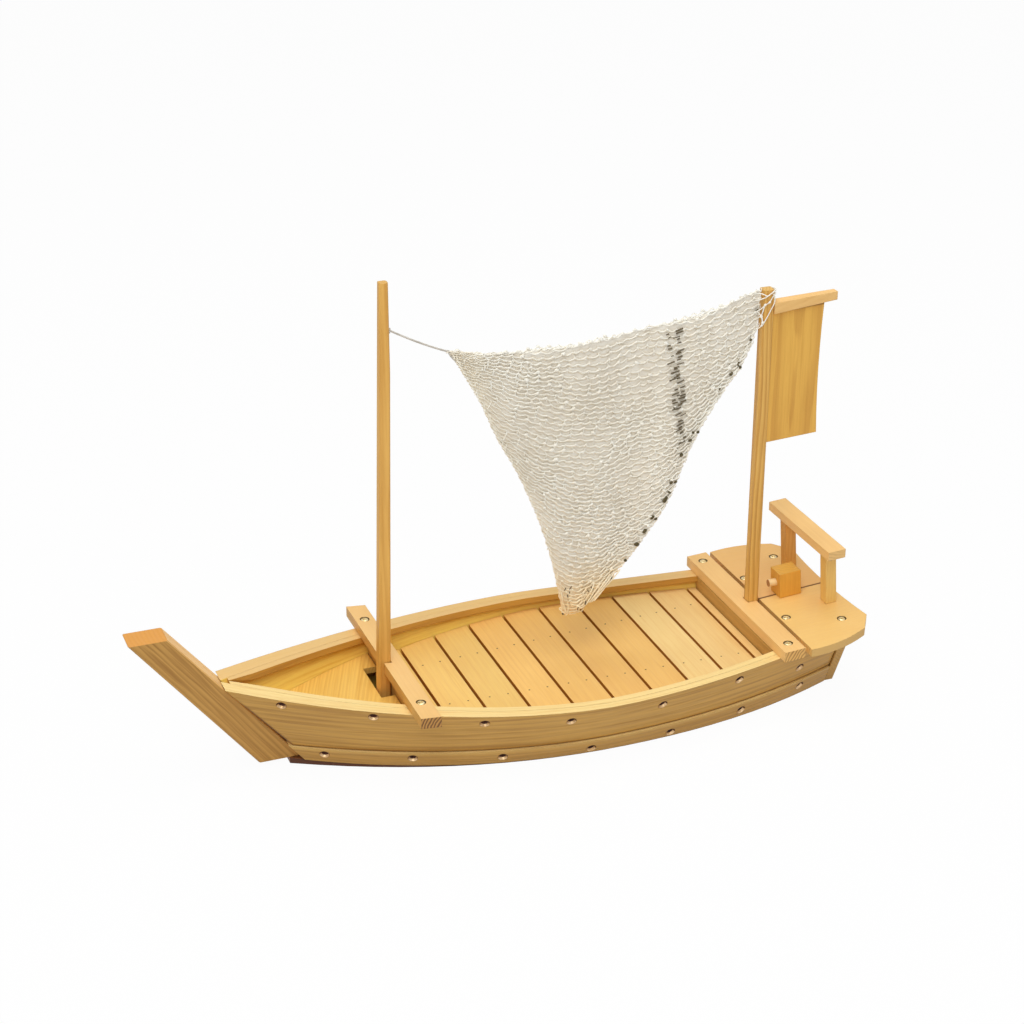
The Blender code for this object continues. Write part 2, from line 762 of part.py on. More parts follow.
def make_yard_and_flag():
    """The yard tapers aft and swings a little to starboard, with the flag board straight under it."""
    mast_back = AFT_MAST_X + AFT_MAST_WIDTH / 2 + GAP

    def swing(x):
        return YARD_SWING * (x - mast_back)

    def along(x, root, end):
        return root + (end - root) * (x - mast_back) / (YARD_END_X - mast_back)

    def yard_foot(x):
        return YARD_TOP - along(x, YARD_DEPTH, YARD_END_DEPTH)

    rings = []
    for x in (mast_back, YARD_END_X):
        half = along(x, YARD_WIDTH, YARD_END_WIDTH) / 2
        rings.append([(x, swing(x) - half, yard_foot(x)), (x, swing(x) + half, yard_foot(x)),
                      (x, swing(x) + half, YARD_TOP), (x, swing(x) - half, YARD_TOP)])
    yard = loft("yard", rings, FLOOR_WOOD)
    flag_end = mast_back + FLAG_LENGTH
    end_top = yard_foot(flag_end) - GAP
    profile = [(mast_back, yard_foot(mast_back) - GAP), (mast_back, FLAG_FOOT)]
    for share in steps(0.0, 1.0, 7):
        hollow = FLAG_HOLLOW * 4 * share * (1 - share)
        profile.append((flag_end - hollow, FLAG_FOOT + (end_top - FLAG_FOOT) * share))
    half = FLAG_THICK / 2
    flag = loft("flag_board", [[(x, swing(x) + y, z) for x, z in profile] for y in (-half, half)], MAST_WOOD)
    return yard, flag


# Screws on top

def screw_profile(grow):
    """Radius and depth down a screw, grown by a clearance on every side."""
    return [(SCREW_HEAD_RADIUS + grow, 0.0), (SCREW_HEAD_RADIUS + grow, 0.0004),
            (SCREW_SHANK_RADIUS + grow, SCREW_HEAD_DEPTH), (SCREW_SHANK_RADIUS + grow, SCREW_LENGTH + grow)]


def turned(name, x, y, z, profile, colour, **finish):
    rings = []
    for radius, depth in profile:
        ring = []
        for i in range(SCREW_SIDES):
            turn = 2 * math.pi * i / SCREW_SIDES
            ring.append((x + radius * math.cos(turn), y + radius * math.sin(turn), z - depth))
        rings.append(ring)
    return loft(name, rings, colour, **finish)


def make_screw(name, x, y, surface, targets):
    """A screw sunk into a surface, and its hole in every board that it goes into."""
    head = surface - SCREW_SINK
    made = turned(name, x, y, head, screw_profile(0.0), BRASS, roughness=0.3, metallic=1.0)
    smooth(made)
    above = SCREW_SINK + BEAM_THICK
    hole = [(SCREW_HEAD_RADIUS + GAP, -above)] + screw_profile(GAP)[1:]
    tool = cutter(name + "_hole", lambda label: turned(label, x, y, head, hole, BRASS))
    for target in targets:
        cut(target, tool)


def make_screws(planks, beams, decks, cleat, transom):
    for index, side_sign in enumerate((-1, 1)):
        word = ("port", "starboard")[index]
        places = (("fore_beam", FORE_BEAM_X, beams[0]), ("aft_beam", AFT_BEAM_X, beams[1]))
        for name, beam_x, beam in places:
            middle = side(beam_x, sheer(beam_x)) - plank_thick(beam_x) * slant(beam_x, sheer(beam_x)) / 2
            make_screw("%s_screw_%s" % (name, word), beam_x, side_sign * middle,
                       beam_ceiling(beam_x)(beam_x, 0), (beam, planks[index]))
        cleat_x = DECK_FORE_X + GAP + CLEAT_WIDTH / 2
        make_screw("deck_fore_screw_" + word, cleat_x, side_sign * DECK_SCREW_FORE_Y,
                   deck_ceiling(cleat_x, 0), (decks[index], cleat))
        transom_x = STERN_X + TRANSOM_THICK / 2
        make_screw("deck_aft_screw_" + word, transom_x, side_sign * DECK_SCREW_AFT_Y,
                   deck_ceiling(transom_x, 0), (decks[index], transom))


# Net and cord

def net_corners():
    aft = (AFT_MAST_X - AFT_MAST_WIDTH / 2 - GAP, NET_AFT_HEIGHT)
    return Vector(NET_FORE), Vector(aft), Vector(NET_TIP)


def net_point(fore, aft, tip):
    """A place on the net from its three shares, with each edge bowed as it hangs."""
    corners = net_corners()
    place = fore * corners[0] + aft * corners[1] + tip * corners[2]
    place += 4 * fore * aft * Vector(NET_TOP_SAG)
    place += 4 * aft * tip * (1 + NET_AFT_SKEW * (tip - aft)) * Vector(NET_AFT_BULGE)
    place += 4 * fore * tip * Vector(NET_FORE_HOLLOW)
    return place


def net_cells():
    """Corners of the gaps, as steps down from the top edge and along it."""
    cells = []
    for row in range(NET_ROWS):
        for i in range(NET_ROWS - row):
            if i + 1 < NET_ROWS - row:
                cells.append([(row, i), (row, i + 1), (row + 1, i + 1), (row + 1, i)])
            else:
                cells.append([(row, i), (row, i + 1), (row + 1, i)])
    return cells


def shrunk(corners, inset):
    """The corners of a gap, moved in so that half a thread is left along every edge."""
    count = len(corners)
    middle = sum(corners, Vector((0.0, 0.0))) / count
    inner = []
    for i, corner in enumerate(corners):
        before = (corners[i - 1] - corner).normalized()
        after = (corners[(i + 1) % count] - corner).normalized()
        across = abs(before.x * after.y - before.y * after.x)
        move = (before + after) * (inset / max(across, 0.35))
        limit = (middle - corner).length * 0.55
        if move.length > limit:
            move = move.normalized() * limit
        inner.append(corner + move)
    return inner


def make_net():
    """A flat sheet of threads: each gap is a hole between its threads."""
    work = bmesh.new()
    knots = {}
    rim = {}
    half = NET_THICK / 2

    def vertex(store, key, place):
        if key not in store:
            store[key] = [work.verts.new((place.x, y, place.y)) for y in (-half, half)]
        return store[key]

    def grid_place(row, i):
        return net_point((NET_ROWS - row - i) / NET_ROWS, i / NET_ROWS, row / NET_ROWS)

    edges = {}
    for number, cell in enumerate(net_cells()):
        corners = [grid_place(row, i) for row, i in cell]
        outer = [vertex(knots, key, place) for key, place in zip(cell, corners)]
        inner = [vertex(rim, (number, i), place)
                 for i, place in enumerate(shrunk(corners, NET_THREAD / 2))]
        for i in range(len(cell)):
            j = (i + 1) % len(cell)
            work.faces.new([outer[i][0], outer[j][0], inner[j][0], inner[i][0]])
            work.faces.new([outer[i][1], inner[i][1], inner[j][1], outer[j][1]])
            work.faces.new([inner[i][0], inner[j][0], inner[j][1], inner[i][1]])
            key = tuple(sorted((cell[i], cell[j])))
            edges.setdefault(key, []).append((outer[i], outer[j]))
    for sides in edges.values():
        if len(sides) == 1:
            start, end = sides[0]
            work.faces.new([start[0], start[1], end[1], end[0]])
    bmesh.ops.recalc_face_normals(work, faces=work.faces)
    mesh = bpy.data.meshes.new("net")
    work.to_mesh(mesh)
    work.free()
    made = bpy.data.objects.new("net", mesh)
    bpy.context.collection.objects.link(made)
    mesh.materials.append(material("net", COTTON, 0.9, 0.0))
    return made


def make_cord():
    """The tie from the aft face of the fore mast to the net's fore corner."""
    start_x = fore_mast_x(CORD_MAST_HEIGHT) + fore_mast_width(CORD_MAST_HEIGHT) / 2 + GAP + CORD_RADIUS
    start = Vector((start_x, 0.0, CORD_MAST_HEIGHT))
    end = Vector((NET_FORE[0] - GAP - CORD_RADIUS, 0.0, NET_FORE[1]))
    curve = bpy.data.curves.new("net_cord", "CURVE")
    curve.dimensions = "3D"
    curve.bevel_depth = CORD_RADIUS
    curve.bevel_resolution = 2
    curve.use_fill_caps = True
    spline = curve.splines.new("POLY")
    shares = steps(0.0, 1.0, CORD_POINTS)
    spline.points.add(len(shares) - 1)
    for point, share in zip(spline.points, shares):
        place = start.lerp(end, share)
        place.z -= CORD_SAG * 4 * share * (1 - share)
        point.co = (place.x, place.y, place.z, 1.0)
    made = bpy.data.objects.new("net_cord", curve)
    bpy.context.collection.objects.link(made)
    curve.materials.append(material("net_cord", COTTON, 0.9, 0.0))
    return made


make_stem()
side_planks = make_sides()
make_bottom()
stern_board = make_transom()
crossbeams = make_beams()
make_bulkheads()
make_floor()
make_fore_deck()
deck_boards = make_aft_deck()
deck_cleat = make_cleat()
make_stern()
fore_mast, aft_mast = make_masts()
yard_and_flag = make_yard_and_flag()
make_screws(side_planks, crossbeams, deck_boards, deck_cleat, stern_board)
rig = [aft_mast, *yard_and_flag, make_net(), make_cord()]
carry("fore_mast_seat", (fore_mast_x(mast_foot()), 0.0, mast_foot()), [fore_mast])
carry("aft_mast_seat", (AFT_MAST_X, 0.0, mast_foot()), rig)
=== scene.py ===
import math
import random

import bmesh
import bpy
from mathutils import Matrix, Vector


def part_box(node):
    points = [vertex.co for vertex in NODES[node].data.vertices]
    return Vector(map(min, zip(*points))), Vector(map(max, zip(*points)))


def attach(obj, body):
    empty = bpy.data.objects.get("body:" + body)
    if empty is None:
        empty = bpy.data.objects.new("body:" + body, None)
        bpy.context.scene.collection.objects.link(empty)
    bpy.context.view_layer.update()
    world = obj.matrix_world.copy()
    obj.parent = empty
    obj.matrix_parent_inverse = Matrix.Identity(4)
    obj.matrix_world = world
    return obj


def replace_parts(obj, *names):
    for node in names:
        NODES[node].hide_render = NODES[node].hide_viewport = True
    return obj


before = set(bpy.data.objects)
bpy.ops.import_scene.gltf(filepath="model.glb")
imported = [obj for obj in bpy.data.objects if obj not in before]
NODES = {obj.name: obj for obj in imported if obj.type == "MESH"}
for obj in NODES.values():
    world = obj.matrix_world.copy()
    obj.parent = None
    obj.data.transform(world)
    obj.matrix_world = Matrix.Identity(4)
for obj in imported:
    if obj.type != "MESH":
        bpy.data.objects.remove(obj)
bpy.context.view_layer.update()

FULL_TURN = 2 * math.pi
scene = bpy.context.scene
X, Y, Z = Vector((1, 0, 0)), Vector((0, 1, 0)), Vector((0, 0, 1))


# Helpers for finishes: a wire is one output of a node, and sums on wires add Math nodes.
class Wire:
    def __init__(self, paint, socket):
        self.paint, self.socket = paint, socket

    def math(self, operation, first, second=0.0):
        return self.paint.node("ShaderNodeMath", {"operation": operation}, {0: first, 1: second})

    def __add__(self, other):
        return self.math("ADD", self, other)

    def __radd__(self, other):
        return self.math("ADD", other, self)

    def __sub__(self, other):
        return self.math("SUBTRACT", self, other)

    def __rsub__(self, other):
        return self.math("SUBTRACT", other, self)

    def __mul__(self, other):
        return self.math("MULTIPLY", self, other)

    def __rmul__(self, other):
        return self.math("MULTIPLY", other, self)

    def __truediv__(self, other):
        return self.math("DIVIDE", self, other)

    def __rtruediv__(self, other):
        return self.math("DIVIDE", other, self)

    def __pow__(self, other):
        return self.math("POWER", self, other)

    def __abs__(self):
        return self.math("ABSOLUTE", self)

    def at_least(self, low):
        return self.math("MAXIMUM", self, low)

    def fraction(self):
        return self.math("FRACT", self)

    def step(self, low, high):
        """0 below low, 1 above high, and a soft rise between them."""
        return self.paint.node("ShaderNodeMapRange", {"interpolation_type": "SMOOTHSTEP"},
                               {"Value": self, "From Min": low, "From Max": high})


class Paint:
    """The nodes of a material or of the world. node() makes any of them: settings first, then sockets."""

    def __init__(self, owner):
        self.owner = owner
        owner.use_nodes = True
        self.tree = owner.node_tree
        self.tree.nodes.clear()

    def node(self, kind, settings=None, sockets=None, out=0):
        made = self.tree.nodes.new(kind)
        for key, value in (settings or {}).items():
            setattr(made, key, value)
        for key, value in (sockets or {}).items():
            if isinstance(value, Wire):
                self.tree.links.new(value.socket, made.inputs[key])
            else:
                made.inputs[key].default_value = value
        return Wire(self, made.outputs[out]) if out is not None else made

    def place(self, kind="Object"):
        return self.node("ShaderNodeTexCoord", out=kind)

    def xyz(self):
        """The place on the object, as three wires."""
        made = self.node("ShaderNodeSeparateXYZ", None, {0: self.place()}, None)
        return [Wire(self, socket) for socket in made.outputs]

    def vector(self, x, y, z):
        return self.node("ShaderNodeCombineXYZ", None, {0: x, 1: y, 2: z})

    def dot(self, first, second):
        return self.node("ShaderNodeVectorMath", {"operation": "DOT_PRODUCT"}, {0: first, 1: second}, "Value")

    def length(self, vector):
        return self.node("ShaderNodeVectorMath", {"operation": "LENGTH"}, {0: vector}, "Value")

    def looks(self, way):
        """How squarely the surface looks in a way, from -1 to 1."""
        return self.dot(self.place("Normal"), tuple(way))

    def noise(self, place, scale, detail=2.0, rough=0.5):
        return self.node("ShaderNodeTexNoise", None,
                         {"Vector": place, "Scale": scale, "Detail": detail, "Roughness": rough})

    def mix(self, share, first, second, way="MIX"):
        return self.node("ShaderNodeMix", {"data_type": "RGBA", "blend_type": way},
                         {0: share, 6: first, 7: second}, 2)

    def times(self, colour, tint):
        return self.mix(1.0, colour, (*tint, 1), "MULTIPLY")

    def bump(self, height, depth, strength=1.0, normal=None):
        sockets = {"Height": height, "Distance": depth, "Strength": strength}
        if normal is not None:
            sockets["Normal"] = normal
        return self.node("ShaderNodeBump", None, sockets)

    def seen(self):
        """1 where the eye sees a thing straight, in a mirror or through glass, and 0 for soft light."""
        path = self.node("ShaderNodeLightPath", out=None)
        straight, mirror, glass = (Wire(self, path.outputs[f"Is {kind} Ray"])
                                   for kind in ("Camera", "Glossy", "Transmission"))
        return straight.at_least(mirror).at_least(glass)

    def surface(self, **sockets):
        made = self.node("ShaderNodeBsdfPrincipled", None,
                         {key.replace("_", " "): value for key, value in sockets.items()})
        self.node("ShaderNodeOutputMaterial", None, {"Surface": made}, None)
        return self.owner


def finish_of(name):
    return Paint(bpy.data.materials.new(name))


def shade(red, green, blue):
    """A colour given in 0 to 255 as a screen shows it, made linear."""
    def linear(value):
        value /= 255
        return value / 12.92 if value <= 0.04045 else ((value + 0.055) / 1.055) ** 2.4
    return (linear(red), linear(green), linear(blue), 1)


def toned(colour, share):
    return tuple(min(1, c * share) for c in colour[:3]) + (1,)


# The camera, at the photograph's viewing angle: degrees that it looks down and turns.
LOOKS_DOWN, TURNS = 25.247, -20.886
camera = bpy.data.objects.new("camera", bpy.data.cameras.new("camera"))
scene.collection.objects.link(camera)
camera.location = (-0.5869, -1.570, 0.9922)
camera.rotation_euler = (math.radians(90 - LOOKS_DOWN), 0, math.radians(TURNS))
camera.data.sensor_width = 36
camera.data.lens = 75.46
camera.data.clip_start = 0.01
scene.camera = camera
scene.view_settings.view_transform = "Standard"


# Mesh making. The rings of a knot are places along it and radii, as shares of its size.
KNOT_RINGS = ((-1, 0.3), (-0.6, 0.85), (0, 1.05), (0.6, 0.85), (1, 0.3))
KNOT_SIDES = 6


class Shape:
    """Points and faces of a piece while it is being made."""

    def __init__(self):
        self.points, self.faces = [], []

    def tube(self, path, radius, sides=6):
        """A round strand along path, closed at both ends; radius is one number, or one for each point."""
        path = [Vector(p) for p in path]
        radii = radius if isinstance(radius, list) else [radius] * len(path)
        start = len(self.points)
        across = None
        for i, point in enumerate(path):
            run = (path[min(i + 1, len(path) - 1)] - path[max(i - 1, 0)]).normalized()
            if across is None:
                across = run.orthogonal().normalized()
            across = (across - run * across.dot(run)).normalized()
            up = run.cross(across)
            for k in range(sides):
                turn = FULL_TURN * k / sides
                self.points.append(point + (across * math.cos(turn) + up * math.sin(turn)) * radii[i])
        self.skin(start, len(path), sides)

    def skin(self, start, count, sides):
        """Faces between rings of points, and a face that closes each end."""
        for i in range(count - 1):
            a, b = start + i * sides, start + (i + 1) * sides
            for k in range(sides):
                n = (k + 1) % sides
                self.faces.append((a + k, a + n, b + n, b + k))
        last = start + (count - 1) * sides
        self.faces.append(tuple(range(last, last + sides)))
        self.faces.append(tuple(range(start + sides - 1, start - 1, -1)))

    def knot(self, centre, size, stretch=1.0, lean=0.3):
        """A small round lump where strands cross."""
        start = len(self.points)
        for along, radius in KNOT_RINGS:
            for k in range(KNOT_SIDES):
                turn = FULL_TURN * k / KNOT_SIDES + along
                self.points.append(Vector(centre) + size * Vector((
                    along * stretch, radius * math.cos(turn), radius * math.sin(turn) + lean * along)))
        self.skin(start, len(KNOT_RINGS), KNOT_SIDES)

    def turned(self, profile, place, sides=32, cross=None):
        """Turned on place's Z from (radius, height) pairs in mm, foot first.

        cross is the (reach, half width, depth) of a cross-shaped recess, in mm.
        """
        start = len(self.points)
        for radius, height in profile:
            for k in range(sides):
                turn = FULL_TURN * k / sides
                x, y, z = radius * math.cos(turn), radius * math.sin(turn), height
                if cross and min(abs(x), abs(y)) < cross[1] and max(abs(x), abs(y)) < cross[0]:
                    z -= cross[2]
                self.points.append(place @ (Vector((x, y, z)) / 1000))
        self.skin(start, len(profile), sides)

    def mesh(self, name):
        made = bpy.data.meshes.new(name)
        made.from_pydata([tuple(p) for p in self.points], [], self.faces)
        made.update()
        return made

    def make(self, name, material, body, slot):
        return piece(name, self.mesh(name), material, body)


def piece(name, mesh, material, body):
    made = bpy.data.objects.new(name, mesh)
    scene.collection.objects.link(made)
    mesh.materials.clear()
    mesh.materials.append(material)
    ease(mesh)
    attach(made, body)
    return made


def ease(mesh, sharp=math.radians(32)):
    """Smooth shading, with the corners kept crisp."""
    form = bmesh.new()
    form.from_mesh(mesh)
    for face in form.faces:
        face.smooth = True
    for edge in form.edges:
        edge.smooth = len(edge.link_faces) == 2 and edge.calc_face_angle(0) < sharp
    form.to_mesh(mesh)
    form.free()


def shares(count):
    """Even steps from 0 to 1."""
    return [k / count for k in range(count + 1)]


def through(marks, steps=16):
    """A smooth line through marks in mm, as a function of the share of its length."""
    marks = [Vector(mark) / 1000 for mark in marks]
    track = []
    for i in range(len(marks) - 1):
        a, b, c, d = (marks[max(0, min(len(marks) - 1, i + k))] for k in (-1, 0, 1, 2))
        for k in range(steps):
            s = k / steps
            track.append((2 * b + (c - a) * s + (2 * a - 5 * b + 4 * c - d) * s ** 2
                          + (3 * b - a - 3 * c + d) * s ** 3) / 2)
    track.append(marks[-1])
    runs = [0.0]
    for before, after in zip(track, track[1:]):
        runs.append(runs[-1] + (after - before).length)

    def at(share):
        want = max(0.0, min(1.0, share)) * runs[-1]
        i = 1
        while i < len(runs) - 1 and runs[i] < want:
            i += 1
        return track[i - 1].lerp(track[i], (want - runs[i - 1]) / (runs[i] - runs[i - 1]))
    return at


# The lines of the hull, as the part has them: half widths, where they are, and the powers of the curves.
TOP_LINE = {"widest": 0.1145, "widest_x": 0.062, "bow": 0.0155, "bow_x": -0.257, "bow_power": 1.8,
            "stern": 0.078, "stern_x": 0.303, "stern_power": 1.6}
FOOT_LINE = {"widest": 0.089, "widest_x": 0.085, "bow": 0.0095, "bow_x": -0.199, "bow_power": 2.05,
             "stern": 0.0495, "stern_x": 0.303, "stern_power": 2.2}
SHEER_LOW, SHEER_LOW_X, SHEER_CURVE = 0.0568, 0.110, 0.22
SEAM_LOW, SEAM_LOW_X, SEAM_CURVE = 0.0168, 0.060, 0.07

# The planks' fore ends lie on a raked line, where x is -STEM_FOOT - STEM_RAKE * z.
STEM_FOOT, STEM_RAKE = 0.1788, 0.863

# How far the grain of a plank follows the curve of the seam and of the sheer.
WITH_SEAM, WITH_SHEER = 0.55, 0.3


def bulge(x, widest, widest_x, bow, bow_x, bow_power, stern, stern_x, stern_power):
    """Half the hull's width at x, for a wire."""
    fore = ((widest_x - x) / (widest_x - bow_x)).at_least(0) ** bow_power
    aft = ((x - widest_x) / (stern_x - widest_x)).at_least(0) ** stern_power
    return widest - (widest - bow) * fore - (widest - stern) * aft


def sheer(x):
    return SHEER_LOW + SHEER_CURVE * (x - SHEER_LOW_X) ** 2


def seam(x):
    return SEAM_LOW + SEAM_CURVE * (x - SEAM_LOW_X) ** 2


def hull_grain(paint):
    """Lengthwise, outward and upward places on a plank that bends with the hull."""
    x, y, z = paint.xyz()
    top, foot = bulge(x, **TOP_LINE), bulge(x, **FOOT_LINE)
    outward = abs(y) - (foot + (top - foot) * z / sheer(x))
    return x, outward, z - seam(x) * WITH_SEAM - sheer(x) * WITH_SHEER


def straight_grain(direction):
    """Lengthwise, sideways and upward places on a straight board, with the three ways they run."""
    along = Vector(direction).normalized()
    side = along.cross(Z if abs(along.z) < 0.9 else Y).normalized()
    up = side.cross(along)

    def places(paint):
        return [paint.dot(paint.place(), tuple(way)) for way in (along, side, up)]
    return places, along, side, up


# Painted shade and highlights on boards, and the deck's dark split: each gives its share over the surface.
# Painted shade on the side faces that look along way, down in the gaps between boards.
def in_gaps(way):
    return lambda paint: abs(paint.looks(way)).step(0.7, 0.9) * 0.9


def in_gaps_and_far(paint):
    """Painted shade in the gaps between the slats, and a little on their starboard ends."""
    y = paint.xyz()[1]
    return in_gaps(X)(paint).at_least(y.step(-0.02, 0.10) * 0.09)


def flanks(paint):
    return (1 - abs(paint.looks(Z))).step(0.3, 0.7)


def split_and_flanks(paint):
    """The dark split between the deck boards, and a little painted shade all round their edges."""
    y = paint.xyz()[1]
    return ((1 - abs(y).step(0.0006, 0.0018)) * 0.85).at_least(flanks(paint) * 0.3)


def outside(paint):
    """1 on faces that look away from the keel."""
    y = paint.xyz()[1]
    return (y * paint.looks(Y)).step(0.003, 0.008)


def inside_top(paint):
    """1 on the faces that look to the keel, beside the inwale, where the pale top colour is painted light."""
    x, y, z = paint.xyz()
    inside = (0 - y * paint.looks(Y)).step(0.003, 0.008)
    return inside * (z - sheer(x)).step(-0.0054, -0.0048)


def over_lap(paint):
    """Painted shade outside, along the lap with the strake and the joint with the stem."""
    x, _, z = paint.xyz()
    lap = 1 - (z - seam(x)).step(0.0003, 0.0030)
    joint = 1 - (x + STEM_RAKE * z + STEM_FOOT).step(0.0004, 0.0028)
    below_rim = 1 - z.step(0.062, 0.080)
    return lap.at_least(joint * below_rim) * outside(paint) * 0.85


def under_lap(paint):
    """Painted highlight outside, along the strake's upper edge, which catches the light."""
    x, _, z = paint.xyz()
    return (z - seam(x)).step(-0.0050, -0.0004) * outside(paint) * 0.5


def fore_face(paint):
    """Painted shade on the face of a beam that looks to the bow, which is darker than its top."""
    return paint.looks(-X).step(0.7, 0.9) * 0.7


# Painted shadow along the top of the flag board, under the yard.
def under_yard(paint):
    z = paint.xyz()[2]
    return (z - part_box("flag_board")[1].z).step(-0.0030, -0.0012) * 0.6


# Shades of the wood: the pale one between the rings, and the one of their lines.
SLAT_LINE = shade(226, 168, 86)
BEAM_PALE, BEAM_LINE = shade(252, 206, 134), shade(222, 164, 86)
DECK_PALE, DECK_LINE = shade(250, 205, 104), shade(222, 162, 62)
# Painted light and shade: INSIDE for the planks' lit inner faces, and PLANK darker for their outer faces.
INSIDE_PALE, INSIDE_LINE = shade(253, 218, 106), shade(228, 174, 64)
PLANK_PALE, PLANK_LINE = shade(206, 160, 81), shade(151, 104, 40)
MAST_LINE = shade(196, 134, 50)
BLOCK_PALE, BLOCK_LINE = shade(246, 186, 80), shade(196, 122, 30)
# RIM is darker than the planks: painted shade on the inwales' inner faces, for the shadow under the rim.
RIM_PALE, RIM_LINE = shade(202, 145, 56), shade(166, 110, 38)
# EDGE is painted highlight on faces that look up, with EDGE_FAR painted darker on the starboard side.
EDGE_PALE, EDGE_FAR, EDGE_LINE = shade(255, 226, 154), shade(238, 198, 130), shade(236, 192, 116)
# The brown of painted shade, and of a dark joint.
JOINT_AND_SHADE = shade(118, 74, 36)

# The rings on cut ends, the rounding of every edge, and the depth of the grain.
END_RING = 0.0029
EDGE_ROUND = 0.0009
GRAIN_DEPTH = 0.0002


def lit_faces(paint, pale, line, inward, top):
    """Painted light: a board's two shades, paler on its inner side and on the edges that face up."""
    if inward:
        inner = paint.looks(inward).step(0.15, 0.5)
        pale, line = paint.mix(inner, pale, INSIDE_PALE), paint.mix(inner, line, INSIDE_LINE)
    if top:
        start, full, top_pale, top_line, *others = top
        rim = paint.looks(Z).step(start, full)
        for other in others:
            rim = rim.at_least(other(paint))
        pale, line = paint.mix(rim, pale, top_pale), paint.mix(rim, line, top_line)
    return pale, line


def wood(name, grain, pale, line, ring, heart, lines, streaks, seed,
         inward=None, top=None, ends=None, soil=None, wavy=0.0):
    """A board's finish, with rings of its own round a heart of its own.

    ring is the width of a ring, and lines and streaks are how strongly rings and streaks show. inward is
    the way that a plank's inner side looks, painted paler as light, top the (start, full, pale, line) of
    edges that face up, painted as highlight, with the share of any other faces painted so, ends the
    (way, light, dark) of the cut ends, soil the (share, colour) of painted shade and highlights
    and of a dark joint, and wavy how far the grain wanders.
    """
    paint = finish_of(name)
    pale, line = lit_faces(paint, pale, line, inward, top)
    u, v, w = grain(paint)
    slow = paint.noise(paint.vector(u * 4 + seed, v * 20, w * 20), 1, 2)
    quick = paint.noise(paint.vector(u * 14 - seed, v * 90, w * 90), 1, 2)
    if wavy:
        v = v + (slow - 0.5) * wavy
        w = w + (quick - 0.5) * wavy * 0.5
    spread = paint.length(paint.vector(0.0, v - heart[0], w - heart[1]))
    turn = (spread / ring + (slow - 0.5) * 3.4 + (quick - 0.5) * 0.6).fraction()
    late = turn.step(0.2, 0.86) * (1 - turn.step(0.89, 1.0))
    streak = paint.noise(paint.vector(u * 9, v * 430 + seed, w * 430), 1, 3, 0.55)
    fibre = paint.noise(paint.vector(u * 50, v * 1700, w * 1700 + seed), 1, 3, 0.6)
    cloud = paint.noise(paint.vector(u * 9, v * 22 + seed, w * 22), 1, 2)
    bright = paint.times(pale, (1.12, 1.12, 1.12))
    colour = paint.mix(late * lines * (0.4 + 1.1 * cloud), pale, line)
    colour = paint.mix(streak.step(0.44, 0.72) * streaks, colour, line)
    colour = paint.mix((1 - streak.step(0.26, 0.42)) * streaks * 0.5, colour, bright)
    colour = paint.mix((fibre - 0.45).at_least(0) * 0.6, colour, line)
    colour = paint.mix((cloud - 0.42).at_least(0) * 0.6, colour, line)
    # Painted highlight: edges are paler where the rounded normal turns from the true one.
    rounded = paint.node("ShaderNodeBevel", {"samples": 4}, {"Radius": EDGE_ROUND})
    true = paint.node("ShaderNodeNewGeometry", out="True Normal")
    edge = (1 - paint.dot(rounded, true)).step(0.02, 0.22)
    colour = paint.mix(edge * 0.7, colour, bright)
    if soil:
        colour = paint.mix(soil[0](paint), colour, soil[1])
    if ends:
        way, light, dark = ends
        arc = (spread / END_RING + (quick - 0.5) * 1.6).fraction()
        light_share = 1 - (1 - arc.step(0.3, 0.6)) * cloud.step(0.2, 0.6)
        cut = abs(paint.looks(way)).step(0.75, 0.95)
        colour = paint.mix(cut * 0.9, colour, paint.mix(light_share, dark, light))
    rough = 0.47 + 0.16 * fibre - 0.10 * late
    height = late * 0.3 + streak * 0.3 + fibre * 0.4
    return paint.surface(Base_Color=colour, Roughness=rough, IOR=1.46, Specular_IOR_Level=0.35,
                         Normal=paint.bump(height, GRAIN_DEPTH, 0.5, rounded))


# What is drawn for a board or a row: any turn of a circle, and any place in the noise.
ANY_TURN = 6.283
ANY_SEED = 40
hearts = random.Random(11)


def dress(node, finish):
    NODES[node].data.materials.clear()
    NODES[node].data.materials.append(finish)


def boards(nodes, direction, pale, line, ring, lines, streaks, sawn=None, far=0.06, ends=None, **more):
    """Gives each node a finish of its own, as boards from one stack differ.

    sawn is the angle of the heart in degrees, and far how far off the heart is. The rest goes to wood().
    """
    grain, along, side, up = straight_grain(direction)
    ends = ends or (along, toned(pale, 0.86), toned(pale, 0.72))
    for node in nodes:
        low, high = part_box(node)
        middle = (low + high) / 2
        if sawn is None:
            turn = hearts.uniform(0, ANY_TURN)
        else:
            turn = math.radians(sawn) + hearts.uniform(-0.1, 0.1)
        reach = far * hearts.uniform(0.7, 1.4)
        heart = (middle.dot(side) + math.cos(turn) * reach, middle.dot(up) + math.sin(turn) * reach)
        own_pale = toned(pale, hearts.uniform(0.93, 1.03))
        own_ring = ring * hearts.uniform(0.85, 1.2)
        dress(node, wood("wood_" + node, grain, own_pale, line, own_ring, heart, lines, streaks,
                         hearts.uniform(0, ANY_SEED), ends=ends, **more))


